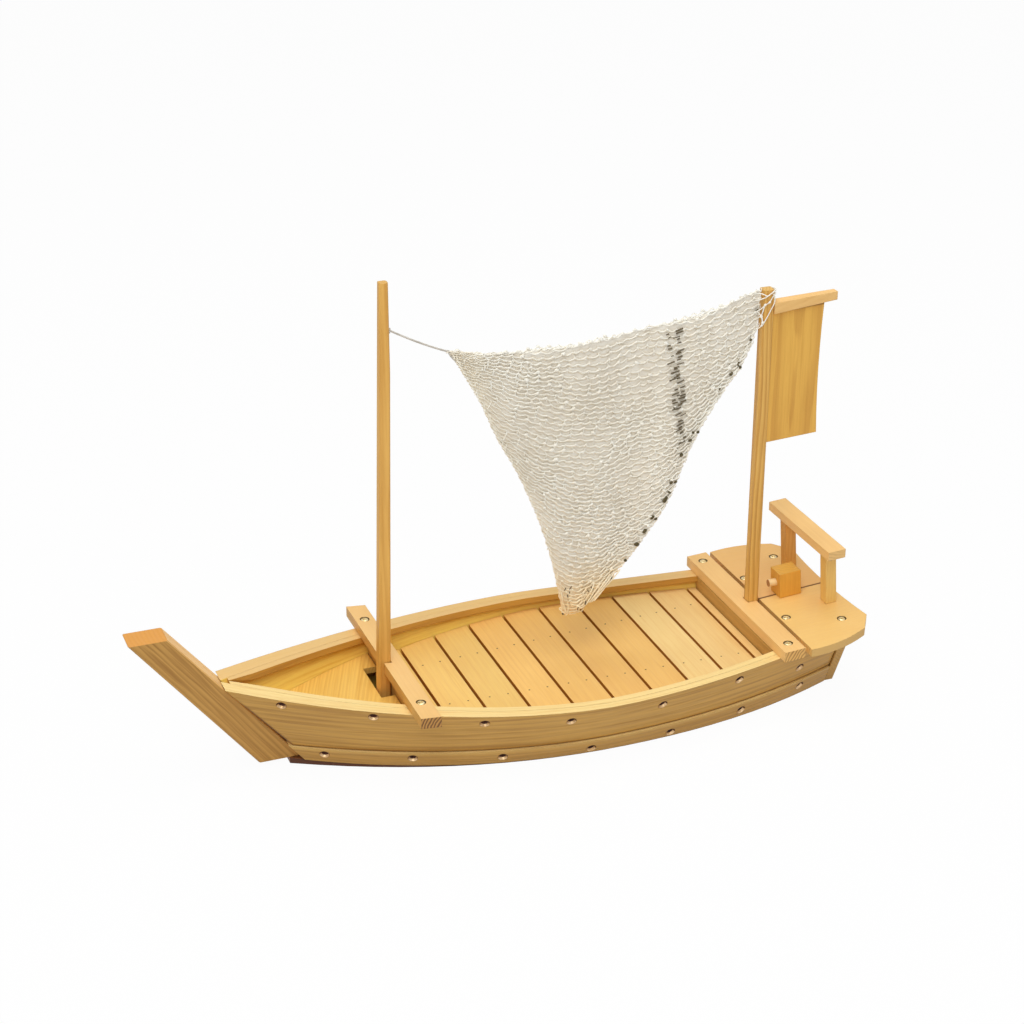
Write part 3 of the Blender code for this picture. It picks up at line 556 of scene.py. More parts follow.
# The boards, each with its direction, its two shades, the width of its rings, its lines and its streaks.
SLATS = [f"floor_slat_{i:02d}" for i in range(1, 11)]
for slats, pale in ((SLATS[:3], shade(255, 212, 122)), (SLATS[3:7], shade(252, 202, 116)),
                    (SLATS[7:], shade(255, 218, 145))):
    boards(slats, Y, pale, shade(218, 150, 66), 0.0046, 0.09, 0.17,
           soil=(in_gaps_and_far, shade(204, 126, 30)))
boards(["fore_deck"], (0.36, 0.93, 0), DECK_PALE, DECK_LINE, 0.0030, 0.30, 0.45, sawn=0,
       soil=(in_gaps(Y), shade(172, 112, 60)))
boards(["fore_crossbeam"], Y, BEAM_PALE, BEAM_LINE, 0.0030, 0.05, 0.06, sawn=-25, far=0.08,
       ends=(Y, shade(186, 132, 66), shade(94, 54, 20)), soil=(fore_face, shade(206, 150, 62)))
boards(["aft_crossbeam"], Y, BEAM_PALE, BEAM_LINE, 0.0030, 0.05, 0.06, sawn=-25, far=0.08,
       ends=(Y, shade(228, 180, 102), shade(164, 108, 50)))
boards(["fore_bulkhead", "aft_bulkhead", "transom"], Y, shade(216, 168, 90), PLANK_LINE, 0.0036, 0.16, 0.25)
for node, pale in (("aft_deck_port", shade(255, 211, 130)), ("aft_deck_starboard", shade(246, 196, 122))):
    boards([node], X, pale, SLAT_LINE, 0.0044, 0.05, 0.06, soil=(split_and_flanks, JOINT_AND_SHADE))
boards(["stern_rail"], Y, BEAM_PALE, SLAT_LINE, 0.0030, 0.10, 0.12)
boards(["yard"], X, BEAM_PALE, SLAT_LINE, 0.0030, 0.15, 0.18)
boards(["fore_mast"], Z, shade(236, 184, 96), MAST_LINE, 0.0040, 0.32, 0.30, far=0.04)
boards(["aft_mast"], Z, shade(244, 194, 104), shade(188, 128, 50), 0.0034, 0.62, 0.35, sawn=20, far=0.04)
boards(["flag_board"], Z, shade(242, 188, 88), MAST_LINE, 0.0080, 0.42, 0.26, soil=(under_yard, JOINT_AND_SHADE))
boards(["port_rail_post"], Z, shade(250, 210, 124), shade(214, 162, 80), 0.0030, 0.10, 0.15)
boards(["starboard_rail_post"], Z, shade(230, 172, 86), BLOCK_LINE, 0.0030, 0.24, 0.20)
boards(["stern_block"], Z, BLOCK_PALE, BLOCK_LINE, 0.0036, 0.14, 0.16, far=0.02)
# The peg's cream body is partly painted light; its browner ends are end grain.
boards(["stern_peg"], X, shade(255, 226, 168), SLAT_LINE, 0.0024, 0.10, 0.10, far=0.02,
       ends=(X, shade(206, 144, 80), shade(160, 100, 48)))
# The stem's faces that look up get the paler beam colours: painted light.
boards(["stem"], (-0.598, 0, 0.801), shade(206, 157, 82), shade(146, 98, 40), 0.0050, 0.40, 0.60, sawn=90,
       far=0.12, ends=(Z, shade(226, 156, 66), shade(222, 151, 61)),
       top=(0.42, 0.56, BEAM_PALE, BEAM_LINE), wavy=0.012)
boards(["port_floor_bearer", "starboard_floor_bearer", "fore_mast_step", "aft_mast_step", "aft_deck_cleat"],
       X, shade(158, 104, 60), shade(112, 70, 36), 0.0036, 0.4, 0.4)
# The bottom board's side faces are darker: painted shade.
boards(["bottom_board"], X, shade(150, 98, 58), shade(104, 66, 36), 0.0036, 0.4, 0.4,
       soil=(flanks, shade(92, 54, 34)))

# The planks, strakes and inwales, which bend with the hull. The heart of each is behind its face.
SIDE_BOARDS = (("upper_plank", 0.06, 0.22, 0.55, (over_lap, JOINT_AND_SHADE)),
               ("lower_strake", -0.07, 0.20, 0.45, (under_lap, shade(226, 186, 110))))
for side, inward, edge in (("port", Y, EDGE_PALE), ("starboard", -Y, EDGE_FAR)):
    top = (0.6, 0.85, edge, EDGE_LINE)
    for name, lift, lines, streaks, soil in SIDE_BOARDS:
        heart = (hearts.uniform(-0.03, -0.015), lift)
        dress(f"{side}_{name}", wood(f"wood_{side}_{name}", hull_grain, PLANK_PALE, PLANK_LINE, 0.0056, heart,
                                     lines, streaks, hearts.uniform(0, ANY_SEED),
                                     inward=inward, top=(*top, inside_top), soil=soil))
    # The inwales' outward faces, down in the gap by the planks, get the pale top colour too: painted light.
    dress(f"{side}_inwale", wood(f"wood_{side}_inwale", hull_grain, RIM_PALE, RIM_LINE, 0.0036, (-0.03, 0.03),
                                 0.25, 0.30, hearts.uniform(0, ANY_SEED), top=(*top, outside)))


def metal_finish(name, bright, dull, dark, base_rough, metallic=1.0, under=None):
    """Worn metal; under is a darker colour on the faces that look down, as painted shade."""
    paint = finish_of(name)
    wear = paint.noise(paint.place(), 900, 3)
    smear = paint.noise(paint.place(), 260, 2)
    colour = paint.mix(smear.step(0.35, 0.7), bright, dull)
    colour = paint.mix(wear.step(0.62, 0.8) * 0.5, colour, dark)
    if under:
        colour = paint.mix(paint.looks(-Z).step(0.02, 0.36), colour, under)
    return paint.surface(Base_Color=colour, Metallic=metallic, Roughness=base_rough + 0.2 * wear,
                         Normal=paint.bump(wear, 0.00006, 0.4))


brass = metal_finish("brass", shade(236, 220, 178), shade(198, 172, 112), shade(112, 84, 42), 0.3)
cup_brass = metal_finish("cup_brass", shade(226, 194, 150), shade(190, 150, 102), shade(112, 78, 42), 0.35,
                         under=shade(74, 40, 24))
# The sunk heads are dark brown and not metallic: some patina, and mostly painted shade down in their holes.
dark_brass = metal_finish("dark_brass", shade(80, 42, 26), shade(56, 28, 18), shade(34, 18, 12), 0.75, 0.0)
# The sleeves' dark bronze is painted shade in the gap round each top screw's head.
sleeve_brass = metal_finish("sleeve_brass", shade(112, 92, 48), shade(84, 64, 30), shade(50, 36, 16), 0.5,
                            0.4)
nail_steel = metal_finish("nail_steel", shade(124, 84, 38), shade(96, 62, 26), shade(70, 44, 18), 0.6, 0.3)


# Screws, each sunk in a countersunk hole. Radius and height from the wood's face, and the recesses, in mm.
CUP = ((2.6, -2.9), (4.4, -2.8), (4.4, -0.3), (4.43, 0.02), (4.3, 0.04), (4.12, -0.12), (3.45, -1.6),
       (2.9, -2.5))
SUNK_HEAD = ((2.5, -2.6), (3.0, -2.25), (3.05, -2.0), (2.4, -1.95), (1.7, -1.92), (1.3, -1.9), (0.9, -1.88),
             (0.4, -1.86))
SUNK_CROSS = (2.0, 0.5, 0.7)
HOLE = ((4.45, -3.0), (4.45, -0.4), (4.48, 0.2), (4.8, 4.0))
# SLEEVE is a dark ring that lines each top screw's hole: painted shade in the gap round the head.
SLEEVE = ((3.2, -1.06), (4.4, -1.04), (4.4, -0.06), (4.2, -0.05), (3.7, -0.9), (3.2, -0.96))
ROUND_HEAD = ((3.1, -0.98), (3.35, -0.6), (3.0, -0.25), (2.5, -0.02), (2.0, 0.08), (1.5, 0.15), (0.9, 0.2),
              (0.4, 0.2))
CROSS = (2.2, 0.55, 1.1)
NAIL = ((0.6, -2.0), (0.8, -0.2), (0.8, 0.06), (0.5, 0.12))
HEAD_SIDES, NAIL_SIDES = 48, 12

# Where the screws go along each side: x, with how far below the sheer, or how high.
UPPER_SCREWS = ((-0.210, 0.0062), (-0.139, 0.0062), (-0.049, 0.0086), (0.026, 0.012), (0.112, 0.012),
                (0.190, 0.009), (0.261, 0.025))
LOWER_SCREWS = ((-0.173, 0.014), (-0.103, 0.012), (-0.028, 0.009), (0.051, 0.006), (0.127, 0.006),
                (0.200, 0.009), (0.267, 0.012))
SIDE_SCREWS = {"upper_plank": [(x, sheer(x) - drop) for x, drop in UPPER_SCREWS],
               "lower_strake": LOWER_SCREWS}

# How far the faces of the top screws stand over their nodes, and two places clear of the hull.
TOP_RISE = 0.0007
CLEAR_OF_SIDE, CLEAR_OF_FLOOR = 0.5, 0.2

# The nails: how far from a slat's edge, and the line of the bearers, which spread towards the stern.
NAIL_INSET = 0.0085
BEARER_X, BEARER_Y, BEARER_RUN, BEARER_SPREAD = -0.062, 0.0365, 0.290, 0.0149


def facing(point, outward, turn=0.0):
    """A place at point whose Z points outward."""
    return (Matrix.Translation(point) @ Vector(outward).to_track_quat("Z", "Y").to_matrix().to_4x4()
            @ Matrix.Rotation(turn, 4, "Z"))


def bored(node, places):
    """A copy of a plank with a hole for each screw; it stands for the node."""
    holes = Shape()
    for place in places:
        holes.turned(HOLE, place)
    bit = bpy.data.objects.new("bit", holes.mesh("bit"))
    blank = bpy.data.objects.new("blank", NODES[node].data.copy())
    for made in (bit, blank):
        scene.collection.objects.link(made)
    cut = blank.modifiers.new("holes", "BOOLEAN")
    cut.operation, cut.solver, cut.object = "DIFFERENCE", "EXACT", bit
    bpy.context.view_layer.update()
    plank = bpy.data.meshes.new_from_object(blank.evaluated_get(bpy.context.evaluated_depsgraph_get()))
    for made in (bit, blank):
        bpy.data.objects.remove(made)
    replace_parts(piece(node + "_bored", plank, NODES[node].data.materials[0], "hull"), node)


turns = random.Random(5)
for side, way in (("port", -1), ("starboard", 1)):
    cups, heads = Shape(), Shape()
    for name, spots in SIDE_SCREWS.items():
        node = f"{side}_{name}"
        places = []
        for x, z in spots:
            hit, point, outward, _ = NODES[node].ray_cast((x, way * CLEAR_OF_SIDE, z), (0, -way, 0))
            if hit:
                places.append(facing(point, outward, turns.uniform(0, 6)))
        for place in places:
            cups.turned(CUP, place)
            heads.turned(SUNK_HEAD, place, HEAD_SIDES, SUNK_CROSS)
        bored(node, places)
    cups.make(f"{side}_screw_cups", cup_brass, "hull", "brass")
    heads.make(f"{side}_screw_heads", dark_brass, "hull", "brass")

TOP_SCREWS = [node for node in NODES if "_screw_" in node]
sleeves, heads = Shape(), Shape()
for node in TOP_SCREWS:
    low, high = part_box(node)
    middle = (low + high) / 2
    place = facing((middle.x, middle.y, high.z + TOP_RISE), Z, turns.uniform(0, 6))
    sleeves.turned(SLEEVE, place)
    heads.turned(ROUND_HEAD, place, HEAD_SIDES, CROSS)
sleeves.make("top_screw_sleeves", sleeve_brass, "hull", "brass")
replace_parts(heads.make("top_screw_heads", brass, "hull", "brass"), *TOP_SCREWS)

# Nails: two at each bearer in every slat.
nails = Shape()
for node in SLATS:
    low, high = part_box(node)
    for x in (low.x + NAIL_INSET, high.x - NAIL_INSET):
        for way in (-1, 1):
            y = way * (BEARER_Y + (x - BEARER_X) / BEARER_RUN * BEARER_SPREAD)
            hit, point, outward, _ = NODES[node].ray_cast((x, y, CLEAR_OF_FLOOR), (0, 0, -1))
            if hit and outward.z > 0.9:
                nails.turned(NAIL, facing(point, outward), NAIL_SIDES)
nails.make("slat_nails", nail_steel, "hull", "floor_wood")


# The net, in the plane of the masts: its rows sag between its fore edge and its aft edge.
fore_edge = through([(-43.7, 0, 356), (-35, 0, 341), (-17, 0, 307), (-1, 0, 270), (20, 0, 229), (42, 0, 171),
                     (55, 0, 120), (61, 0, 91)])
aft_edge = through([(242.4, 0, 373), (240, 0, 338), (227, 0, 307), (213, 0, 289), (184, 0, 245),
                    (160, 0, 190), (139, 0, 159), (115, 0, 125), (90, 0, 99)])

# How far the rows sag at the top edge and in the middle, and how high and how far along they are bunched.
TOP_SAG, BELLY_SAG = 0.0175, 0.058
START_RISE, START_REACH = 0.75, 0.55

# The folds: the point that they spread from, how far they stand out, and where the aft mast calms them.
FOLDS_X, FOLDS_Z, FOLDS_NEAR = 0.09, 0.02, 0.03
DEEP_FOLD, SMALL_FOLD = 0.0030, 0.0014
MAST_X, CALM_RUN = 0.243, 0.03

# The foot of the fore edge, at the net's tip.
TIP_X, TIP_Z = 0.060, 0.091


def row_point(s, t):
    """A point at share s of a row, and share t down the net.

    Rows start high on the fore edge, run down beside it and then sag across.
    """
    sag = TOP_SAG * (1 - t) + BELLY_SAG * t * (1 - t)
    rise = START_RISE * t * (1 - t) ** 2 * max(0, 1 - s / START_REACH) ** 2
    return fore_edge(t - rise).lerp(aft_edge(t), s) - Z * 4 * s * (1 - s) * sag


def ripple(x, z):
    """How far the hung net stands out of its plane, with soft folds that run down to the tip."""
    spread = (x - FOLDS_X) / max(FOLDS_NEAR, z - FOLDS_Z)
    calm = min(1, max(0, (MAST_X - x) / CALM_RUN))
    return calm * (DEEP_FOLD * math.sin(9 * spread + 0.6) + SMALL_FOLD * math.sin(21 * spread + 2.0 + 9 * z))


def drift(x, z, layer):
    """A slow shift that keeps the rows from lying too evenly."""
    return 0.0017 * math.sin(41 * x + 63 * z + layer * 2.1) + 0.0012 * math.sin(97 * x - 71 * z + layer * 4.0)


def cotton_finish(name, pale, deep, share, warm=0.35):
    """Cotton, warmer where it is bunched along the net's fore edge and at its tip."""
    paint = finish_of(name)
    x, y, z = paint.xyz()
    fluff = paint.noise(paint.place(), 1100, 3, 0.6)
    rows = paint.noise(paint.vector(x * 90, y * 60, z * 420), 1, 3, 0.6)
    fold_shade = paint.noise(paint.vector(x * 26, y * 10, z * 9), 1, 2)
    from_edge = x + (z - TIP_Z) * 0.48 - (z - TIP_Z) ** 2 * 0.32 - TIP_X
    colour = paint.mix(rows.step(0.38, 0.66) * share, pale, deep)
    colour = paint.mix(fluff.step(0.45, 0.8) * 0.35, colour, deep)
    # Painted shade in soft blotches where the net folds.
    colour = paint.mix(fold_shade.step(0.4, 0.75) * 0.3, colour, toned(deep, 0.94))
    bunched = (1 - from_edge.step(0.0, 0.035)).at_least(1 - z.step(0.09, 0.17))
    colour = paint.mix(bunched * warm, colour, paint.times(colour, (1.04, 0.98, 0.84)))
    at_tip = 1 - z.step(0.08, 0.15)
    colour = paint.mix(at_tip * warm * 2, colour, paint.times(colour, (1.14, 0.90, 0.50)))
    return paint.surface(Base_Color=colour, Roughness=0.9, Sheen_Weight=0.12, Sheen_Roughness=0.5,
                         Normal=paint.bump(fluff * 0.6 + rows * 0.4, 0.0004, 0.6))


cotton = cotton_finish("cotton", shade(255, 253, 243), shade(244, 234, 214), 0.4)
cotton_ground = cotton_finish("cotton_ground", shade(255, 250, 239), shade(238, 228, 210), 0.7)
cotton_shaded = cotton_finish("cotton_shaded", shade(244, 234, 213), shade(220, 208, 184), 0.6)
cotton_cord = cotton_finish("cotton_cord", shade(216, 210, 200), shade(168, 160, 146), 0.5, 0.0)
cotton_brown = cotton_finish("cotton_brown", shade(112, 99, 74), shade(80, 68, 48), 0.5, 0.0)
cotton_dark = cotton_finish("cotton_dark", shade(98, 86, 54), shade(66, 57, 32), 0.5, 0.0)

# The yarn: radii of its strands and knots, and how they lie in a layer of netting.
THREAD, LEG, FINE, LOOP = 0.00078, 0.00048, 0.00052, 0.00045
ROLLED, HANGING, HEM = 0.00066, 0.00070, 0.0008
ROW_KNOT, KNOT_GAP = 0.00125, 0.0042
LAYER_OUT, ROW_STEP = 0.0013, 0.0013
MESH_SHORT, MESH_LONG = 0.0085, 0.0115
ROW_WAVE, AFT_WAVE, ROW_SHAKE = 0.0007, 0.0006, 0.00032
SHADED_IN, SHADED_DROP = 0.0006, 0.0013
ROWS, GRID = 54, 60


def net_piece(shape, name, material):
    return shape.make(name, material, "aft_rig", "cotton")


def knot_and_legs(rows, point, size, uneven, inner):
    """A knot in a row and, on inner rows, some short legs up and down from it."""
    rows.knot(point, size * uneven.uniform(0.8, 1.4), 1.2, uneven.uniform(-0.5, 0.5))
    for way, chance in ((1, 0.45), (-1, 0.8)):
        if uneven.random() < chance and inner:
            lean, run = uneven.uniform(-0.0020, 0.0020), way * uneven.uniform(0.0018, 0.0036)
            rows.tube([point + Vector((lean * s, 0, run * s)) for s in shares(2)], LEG, sides=4)


def net_layer(layer, out):
    """One layer of netting: knotted rows with short legs between them, and the rows' shaded lower strands."""
    rows, shaded = Shape(), Shape()
    for i in range(ROWS + 1):
        t = i / ROWS
        count = max(12, int((aft_edge(t) - fore_edge(t)).length / ROW_STEP))
        uneven = random.Random(100 * layer + i)
        mesh_run, start = uneven.uniform(MESH_SHORT, MESH_LONG), uneven.uniform(0, ANY_TURN)
        path, radii, last, shake = [], [], -1.0, 0.0
        for k in range(count + 1):
            point = row_point(k / count, t)
            phase = math.pi * point.x / mesh_run + start + 0.5 * math.sin(70 * point.x + i)
            beat = 1 - 2 * abs(math.sin(phase))
            shake = 0.6 * shake + uneven.uniform(-ROW_SHAKE, ROW_SHAKE)
            fade = min(1, k / 5, (count - k) / 5)
            wave = ROW_WAVE + AFT_WAVE * k / count
            point.z += (wave * beat + shake + drift(point.x, point.z, layer)) * fade
            point.y = out * LAYER_OUT + ripple(point.x, point.z) + out * 0.0003 * beat
            path.append(point)
            bold = min(1, 0.45 + 3 * k / count) * uneven.uniform(0.6, 1.15)
            radii.append(THREAD * bold)
            if beat > 0.7 and 0 < k < count and point.x - last > KNOT_GAP:
                last = point.x
                knot_and_legs(rows, point, ROW_KNOT * bold, uneven, 1 < i < ROWS - 1)
        rows.tube(path, radii, sides=5)
        if 0 < i < ROWS:
            below = Vector((0, -out * SHADED_IN, -SHADED_DROP))
            shaded.tube([p + below for p in path], [r * 0.9 for r in radii], sides=4)
    return rows, shaded


ground = Shape()
for t in shares(GRID):
    for s in shares(GRID):
        point = row_point(s, t)
        point.y = ripple(point.x, point.z)
        ground.points.append(point)
for j in range(GRID):
    for k in range(GRID):
        a = j * (GRID + 1) + k
        ground.faces.append((a, a + GRID + 1, a + GRID + 2, a + 1))
net_ground = net_piece(ground, "net_ground", cotton_ground)
for layer, out, side in ((0, -1, "port"), (1, 1, "starboard")):
    rows, shaded = net_layer(layer, out)
    net_piece(rows, "net_rows_" + side, cotton)
    net_piece(shaded, "net_shaded_rows_" + side, cotton_shaded)

# Frayed loops along the top edge and the aft edge, and two rolled strands down each side.
TOP_LOOPS, AFT_LOOPS = 95, 55
AFT_OUT = Vector((0.8, 0, -0.6))
EDGE_STEPS = 140
pick = random.Random(3)
edges = Shape()


def frayed_loop(middle, out):
    """A small loop of thread that stands out from the net's edge."""
    wide, tall = pick.uniform(0.0018, 0.0038), pick.uniform(0.0006, 0.0018)
    middle += Y * (ripple(middle.x, middle.z) + pick.uniform(-0.0012, 0.0012)) - out * 0.0010
    path = []
    for s in shares(8):
        turn = math.pi * s
        path.append(middle + Y.cross(out) * wide * math.cos(turn) + Y * 0.0008 * math.sin(2 * turn)
                    + out * tall * math.sin(turn))
    edges.tube(path, LOOP, sides=5)


for i in range(TOP_LOOPS):
    frayed_loop(row_point((i + pick.uniform(0, 0.8)) / (TOP_LOOPS + 0.8), 0.0), Z)
for i in range(AFT_LOOPS):
    frayed_loop(aft_edge((i + pick.random()) / AFT_LOOPS), AFT_OUT)
for edge, sway in ((fore_edge, 1), (aft_edge, -1)):
    for strand in range(2):
        path = []
        for k in range(EDGE_STEPS + 1):
            point = edge(k / EDGE_STEPS)
            point.x += sway * (0.0006 + 0.0011 * strand) + 0.0008 * math.sin(0.9 * k + strand * 2)
            point.y = ripple(point.x, point.z) + 0.0010 * math.cos(1.1 * k + strand * 3)
            path.append(point)
        edges.tube(path, ROLLED, sides=5)
net_edges = net_piece(edges, "net_edges", cotton)

# The dark stripe of short stitches in two columns, on both faces of the net.
STRIPE_X, STRIPE_LEAN, STRIPE_HALF = 0.1600, 0.0095, 0.0034
STRIPE_TOP, STRIPE_DROP = 0.3500, 0.1060
STITCHES = 34
STITCH_OUT = 0.0023
stitches = Shape()
for column, shift in ((0, -STRIPE_HALF), (1, STRIPE_HALF)):
    for i in range(STITCHES):
        share = (i + 0.5 * column + pick.uniform(-0.3, 0.3)) / (STITCHES - 0.5)
        missed = 0.2 + (0.25 if column == 0 and share > 0.7 else 0)
        if pick.random() < missed:
            continue
        x = STRIPE_X + STRIPE_LEAN * share + shift * (1 - 0.65 * share) + pick.uniform(-0.0024, 0.0024)
        z = STRIPE_TOP - STRIPE_DROP * share
        half, slope = pick.uniform(0.0013, 0.0032), pick.uniform(0.2, 0.5)
        for face in (-1, 1):
            path = []
            for s in (-1, -0.3, 0.3, 1):
                out = face * STITCH_OUT + ripple(x + half * s, z)
                path.append((x + half * s, out, z + slope * half * s))
            stitches.tube(path, pick.uniform(0.00042, 0.00082), sides=5)

# Short brown strands near the tip, in two bands: shares down the net.
for low, high in ((0.885, 0.925), (0.975, 0.99)):
    for _ in range(9):
        point = row_point(pick.uniform(0.08, 0.95), pick.uniform(low, high))
        lean, half = pick.uniform(-1.0, 1.0), pick.uniform(0.0007, 0.0015)
        out = ripple(point.x, point.z) - 0.0030
        stitches.tube([point + Vector((lean * half * s, out, half * s)) for s in (-1, 0, 1)], LOOP, sides=5)
net_stitches = net_piece(stitches, "net_stitches", cotton_brown)

# The dark knots along the aft edge: shares of its length. The lower ones are larger and stand further out.
DARK_KNOTS = (0.055, 0.135, 0.20, 0.213, 0.225, 0.236, 0.29, 0.435, 0.46, 0.505, 0.58, 0.62, 0.632, 0.645,
              0.70, 0.74, 0.79, 0.85, 0.91)
knots = Shape()
for t in DARK_KNOTS:
    for _ in range(pick.choice((1, 1, 2))):
        point = aft_edge(t + pick.uniform(-0.006, 0.006)) - X * pick.uniform(0.0012, 0.0075)
        point.y = ripple(point.x, point.z) - (0.0036 if t > 0.78 else 0.0021)
        size = pick.uniform(0.0010, 0.0016) * (1.3 if t > 0.5 else 1)
        knots.knot(point, size, pick.uniform(0.8, 1.4), pick.uniform(-0.2, 0.8))
knots.knot(row_point(0.02, 1.0), 0.0013, 1.3, 0.2)
net_knots = net_piece(knots, "net_knots", cotton_dark)

# The tip: strands that hang down to a rolled lower edge, and a few loose ends.
HANGING_STRANDS, LOOSE_ENDS = 11, 16
LOWER_EDGE, HANG_TO = 0.995, 0.992
fringe = Shape()
for face in (-1, 1):
    fringe.tube([row_point(k / 12, LOWER_EDGE) + Vector((0, face * 0.0008, 0.0006 * math.sin(2.2 * k)))
                 for k in range(13)], HEM)
    for i in range(HANGING_STRANDS):
        share = (i + pick.random()) / HANGING_STRANDS
        sway, top = pick.uniform(-0.03, 0.03), pick.uniform(0.86, 0.93)
        path = []
        for s in shares(9):
            point = row_point(share + sway * math.sin(5 * s + i), top + (HANG_TO - top) * s)
            path.append(point + Y * face * (0.0024 + 0.0006 * math.sin(7 * s + 2 * i)))
        fringe.tube(path, HANGING, sides=5)
for i in range(LOOSE_ENDS):
    start = row_point(pick.uniform(0.0, 1.0), pick.uniform(0.96, 1.0))
    lean, drop = pick.uniform(-0.003, 0.003), pick.uniform(0.002, 0.005)
    path = []
    for s in shares(8):
        curl = Vector((0.0015 * math.sin(6 * s + i), 0.0022 * math.sin(4 * s + i * 1.7), 0))
        path.append(start + Vector((lean * s, 0, -drop * s)) + curl)
    fringe.tube(path, FINE, sides=5)
net_fringe = net_piece(fringe, "net_fringe", cotton)

# The fore corner: the end of the cord is knotted into the gathered rows, at shares of rows and of depth.
CORD_START, CORD_END = Vector((-0.0946, 0, 0.381)), Vector((-0.0449, 0, 0.356))
GATHERED = ((0.035, 0.0), (0.05, 0.02), (0.06, 0.05), (0.045, 0.08), (0.02, 0.09), (0.0, 0.10), (0.0, 0.06))
corner = Shape()
corner.knot((CORD_END + fore_edge(0)) / 2, 0.0013, 1.0, -0.5)
for share, row in GATHERED:
    for face in (-1, 1):
        last = row_point(share, row) + Y * face * 0.0015
        path = [CORD_END.lerp(last, s) - Z * 0.0010 * math.sin(math.pi * s) for s in shares(8)]
        corner.tube(path, FINE, sides=5)
net_corner = net_piece(corner, "net_corner", cotton_cord)

# Strands of the net that are wound round the top of the aft mast, in mm. Each comes again to starboard.
WOUND = (((234, 0, 370.5), (240, -3, 371.6), (243.2, -5.3, 371), (246.7, -6.0, 369.5), (252.9, -6.0, 373.4),
          (254.9, -4.6, 374.6), (254.9, 2, 373.4), (252, 6.0, 371)),
         ((234, -1, 364.5), (239.5, -3.6, 366), (243.2, -5.4, 367.5), (246, -6.0, 368.8),
          (252.2, -6.0, 372.4), (254.9, -4.8, 373), (254.9, 3, 370.5), (252, 6.0, 369)),
         ((236, -2, 354), (241, -4.5, 357.5), (243.3, -5.7, 360), (244.7, -6.0, 361.4), (248.7, -6.0, 363.5),
          (251.3, -6.0, 367.4), (253, -6.0, 369.6), (254.9, -4.6, 371), (254.9, 3, 368)),
         ((237, -1.5, 347), (241.5, -4.9, 351.8), (243.3, -5.8, 357.5), (244.3, -6.1, 361.8)),
         ((238.5, -2, 338.9), (241.2, -4.6, 341), (242.9, -5.6, 345.5), (242.4, -5.4, 350.7)),
         ((242.5, -5.4, 341.8), (244.2, -6.0, 345), (247.7, -6.0, 351), (250.7, -6.0, 356.8),
          (253, -6.1, 361.2), (253.8, -6.0, 364.5), (253.4, -6.0, 368.7)),
         ((239, -3, 355.4), (241.7, -5.0, 351), (243, -5.7, 345.5)))
WOUND_KNOTS = ((241.9, -5.3, 351), (244.5, -6.2, 361.5), (248.7, -6.3, 363.5), (243, -5.9, 345.5))
WOUND_RADIUS = 0.00050
STARBOARD_OUT, STARBOARD_DROP = 0.4, 1.2
wound = Shape()
for port in WOUND:
    starboard = [(x, STARBOARD_OUT - y, z - STARBOARD_DROP) for x, y, z in port]
    for line in (through(port), through(starboard)):
        wound.tube([line(s) for s in shares(40)], WOUND_RADIUS)
for mark in WOUND_KNOTS:
    wound.knot(Vector(mark) / 1000, ROW_KNOT)
net_wound = net_piece(wound, "net_wound_on_mast", cotton)

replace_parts(net_ground, "net")


# The cord from the fore mast to the net's fore corner: three strands laid together.
CORD_RADIUS, CORD_SAG = 0.0009, 0.0012
CORD_LAY, CORD_STEP = 0.0042, 0.0004
SLANT = Vector((0.1, 0.7, 0.7))
cord_path = [CORD_START.lerp(CORD_END, s) - Z * CORD_SAG * 4 * s * (1 - s) for s in shares(24)]


def laid(path):
    """Three strands twisted round a path, as a cord is laid."""
    line = through([p * 1000 for p in path])
    span = sum((b - a).length for a, b in zip(path, path[1:]))
    steps = int(span / CORD_STEP)
    tracks = [[], [], []]
    for i in range(steps + 1):
        point = line(i / steps)
        way = (line((i + 1) / steps) - line((i - 1) / steps)).normalized()
        across = way.cross(SLANT).normalized()
        up = way.cross(across)
        for strand, track in enumerate(tracks):
            turn = FULL_TURN * (i * span / steps / CORD_LAY + strand / 3)
            track.append(point + (across * math.cos(turn) + up * math.sin(turn)) * CORD_RADIUS * 0.5)
    shape = Shape()
    for track in tracks:
        shape.tube(track, CORD_RADIUS * 0.52)
    return shape


net_cord = net_piece(laid(cord_path), "laid_cord", cotton_cord)
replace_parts(net_cord, "net_cord")


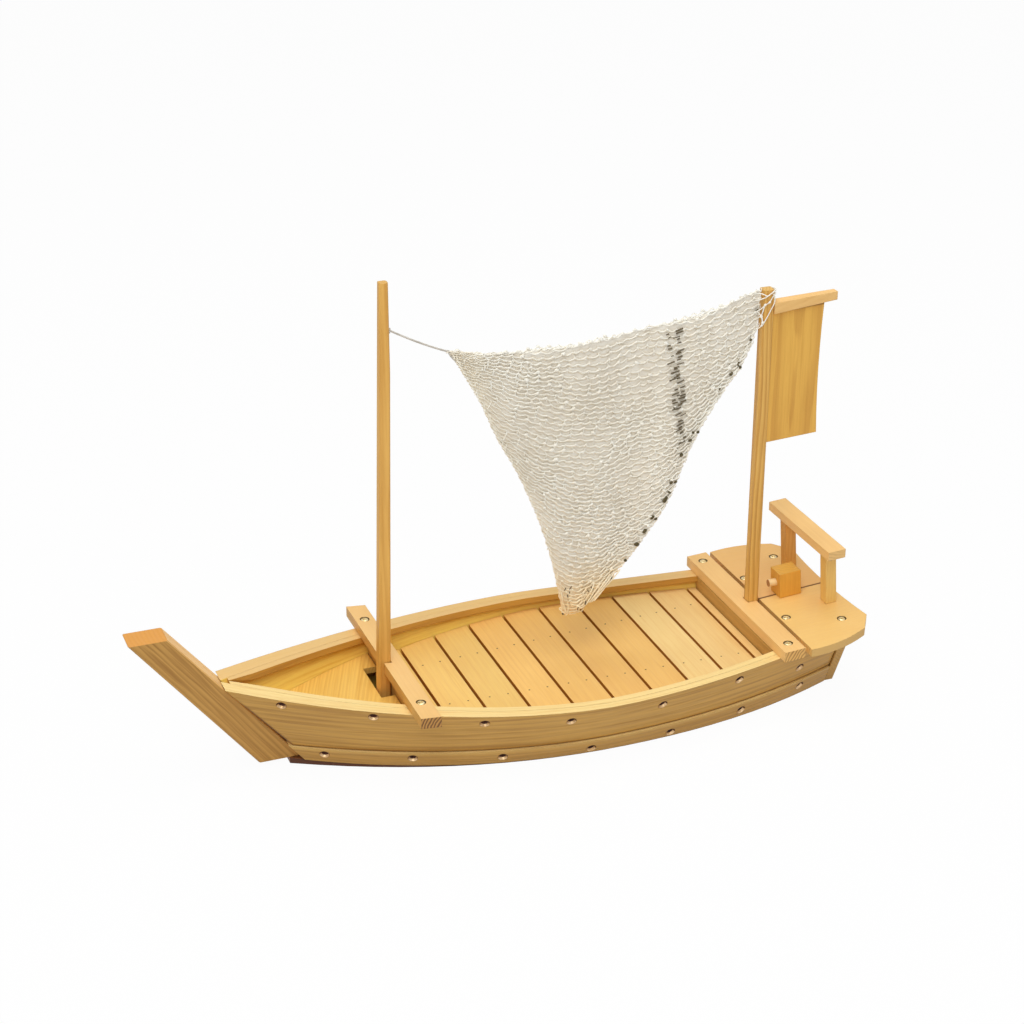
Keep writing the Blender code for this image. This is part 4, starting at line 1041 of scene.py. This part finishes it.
# The knot that holds the cord in a hole in the fore mast's aft face: a lump with three turns round it.
KNOT_OUT, KNOT_SIZE, KNOT_STRAND = 0.0006, 0.0017, 0.0006
mast_face = NODES["fore_mast"].ray_cast((0.1, 0, CORD_START.z), (-1, 0, 0))[1].x
knot_middle = Vector((mast_face + KNOT_OUT, 0, CORD_START.z))
knot = Shape()
knot.knot(knot_middle, KNOT_SIZE, 0.7, 0.0)
for loop in range(3):
    lean = FULL_TURN * loop / 3
    path = []
    for s in shares(20):
        turn = FULL_TURN * s
        path.append(knot_middle + Vector((0.0009 * math.cos(turn) * math.cos(lean), 0.0019 * math.sin(turn),
                                          KNOT_SIZE * math.cos(turn + lean))))
    knot.tube(path, KNOT_STRAND)
knot.make("fore_mast_knot", cotton_cord, "fore_rig", "cotton")


# The floor and the lights.
FLOOR_HALF = 9
WHITE = (1, 1, 1, 1)


def floor_finish():
    paint = finish_of("pale_floor")
    matt = paint.node("ShaderNodeBsdfDiffuse", None, {"Color": (0.9, 0.9, 0.9, 1)})
    glow = paint.node("ShaderNodeEmission", None, {"Color": WHITE, "Strength": 1.0})
    both = paint.node("ShaderNodeMixShader", None, {0: paint.seen() * 0.96, 1: matt, 2: glow})
    paint.node("ShaderNodeOutputMaterial", None, {"Surface": both}, None)
    return paint.owner


floor = bpy.data.objects.new("floor", bpy.data.meshes.new("floor"))
corners = [(x * FLOOR_HALF, y * FLOOR_HALF, 0) for x, y in ((-1, -1), (1, -1), (1, 1), (-1, 1))]
floor.data.from_pydata(corners, [], [(0, 1, 2, 3)])
floor.data.materials.append(floor_finish())
scene.collection.objects.link(floor)

scene.world = bpy.data.worlds.new("studio")
sky = Paint(scene.world)
soft = sky.node("ShaderNodeBackground", None, {"Color": WHITE, "Strength": 0.40})
white = sky.node("ShaderNodeBackground", None, {"Color": WHITE, "Strength": 1.0})
both = sky.node("ShaderNodeMixShader", None, {0: sky.seen(), 1: soft, 2: white})
sky.node("ShaderNodeOutputWorld", None, {"Surface": both}, None)


def lamp(name, place, aim, size, power):
    light = bpy.data.lights.new(name, "AREA")
    light.shape, light.size, light.energy = "DISK", size, power
    made = bpy.data.objects.new(name, light)
    scene.collection.objects.link(made)
    made.location = place
    made.rotation_euler = (Vector(aim) - Vector(place)).to_track_quat("-Z", "Y").to_euler()


lamp("overhead", (0.0, -0.2, 2.5), (0, 0, 0.1), 2.0, 27)
lamp("front", (-0.9, -1.6, 2.0), (0, 0, 0.1), 1.4, 20)
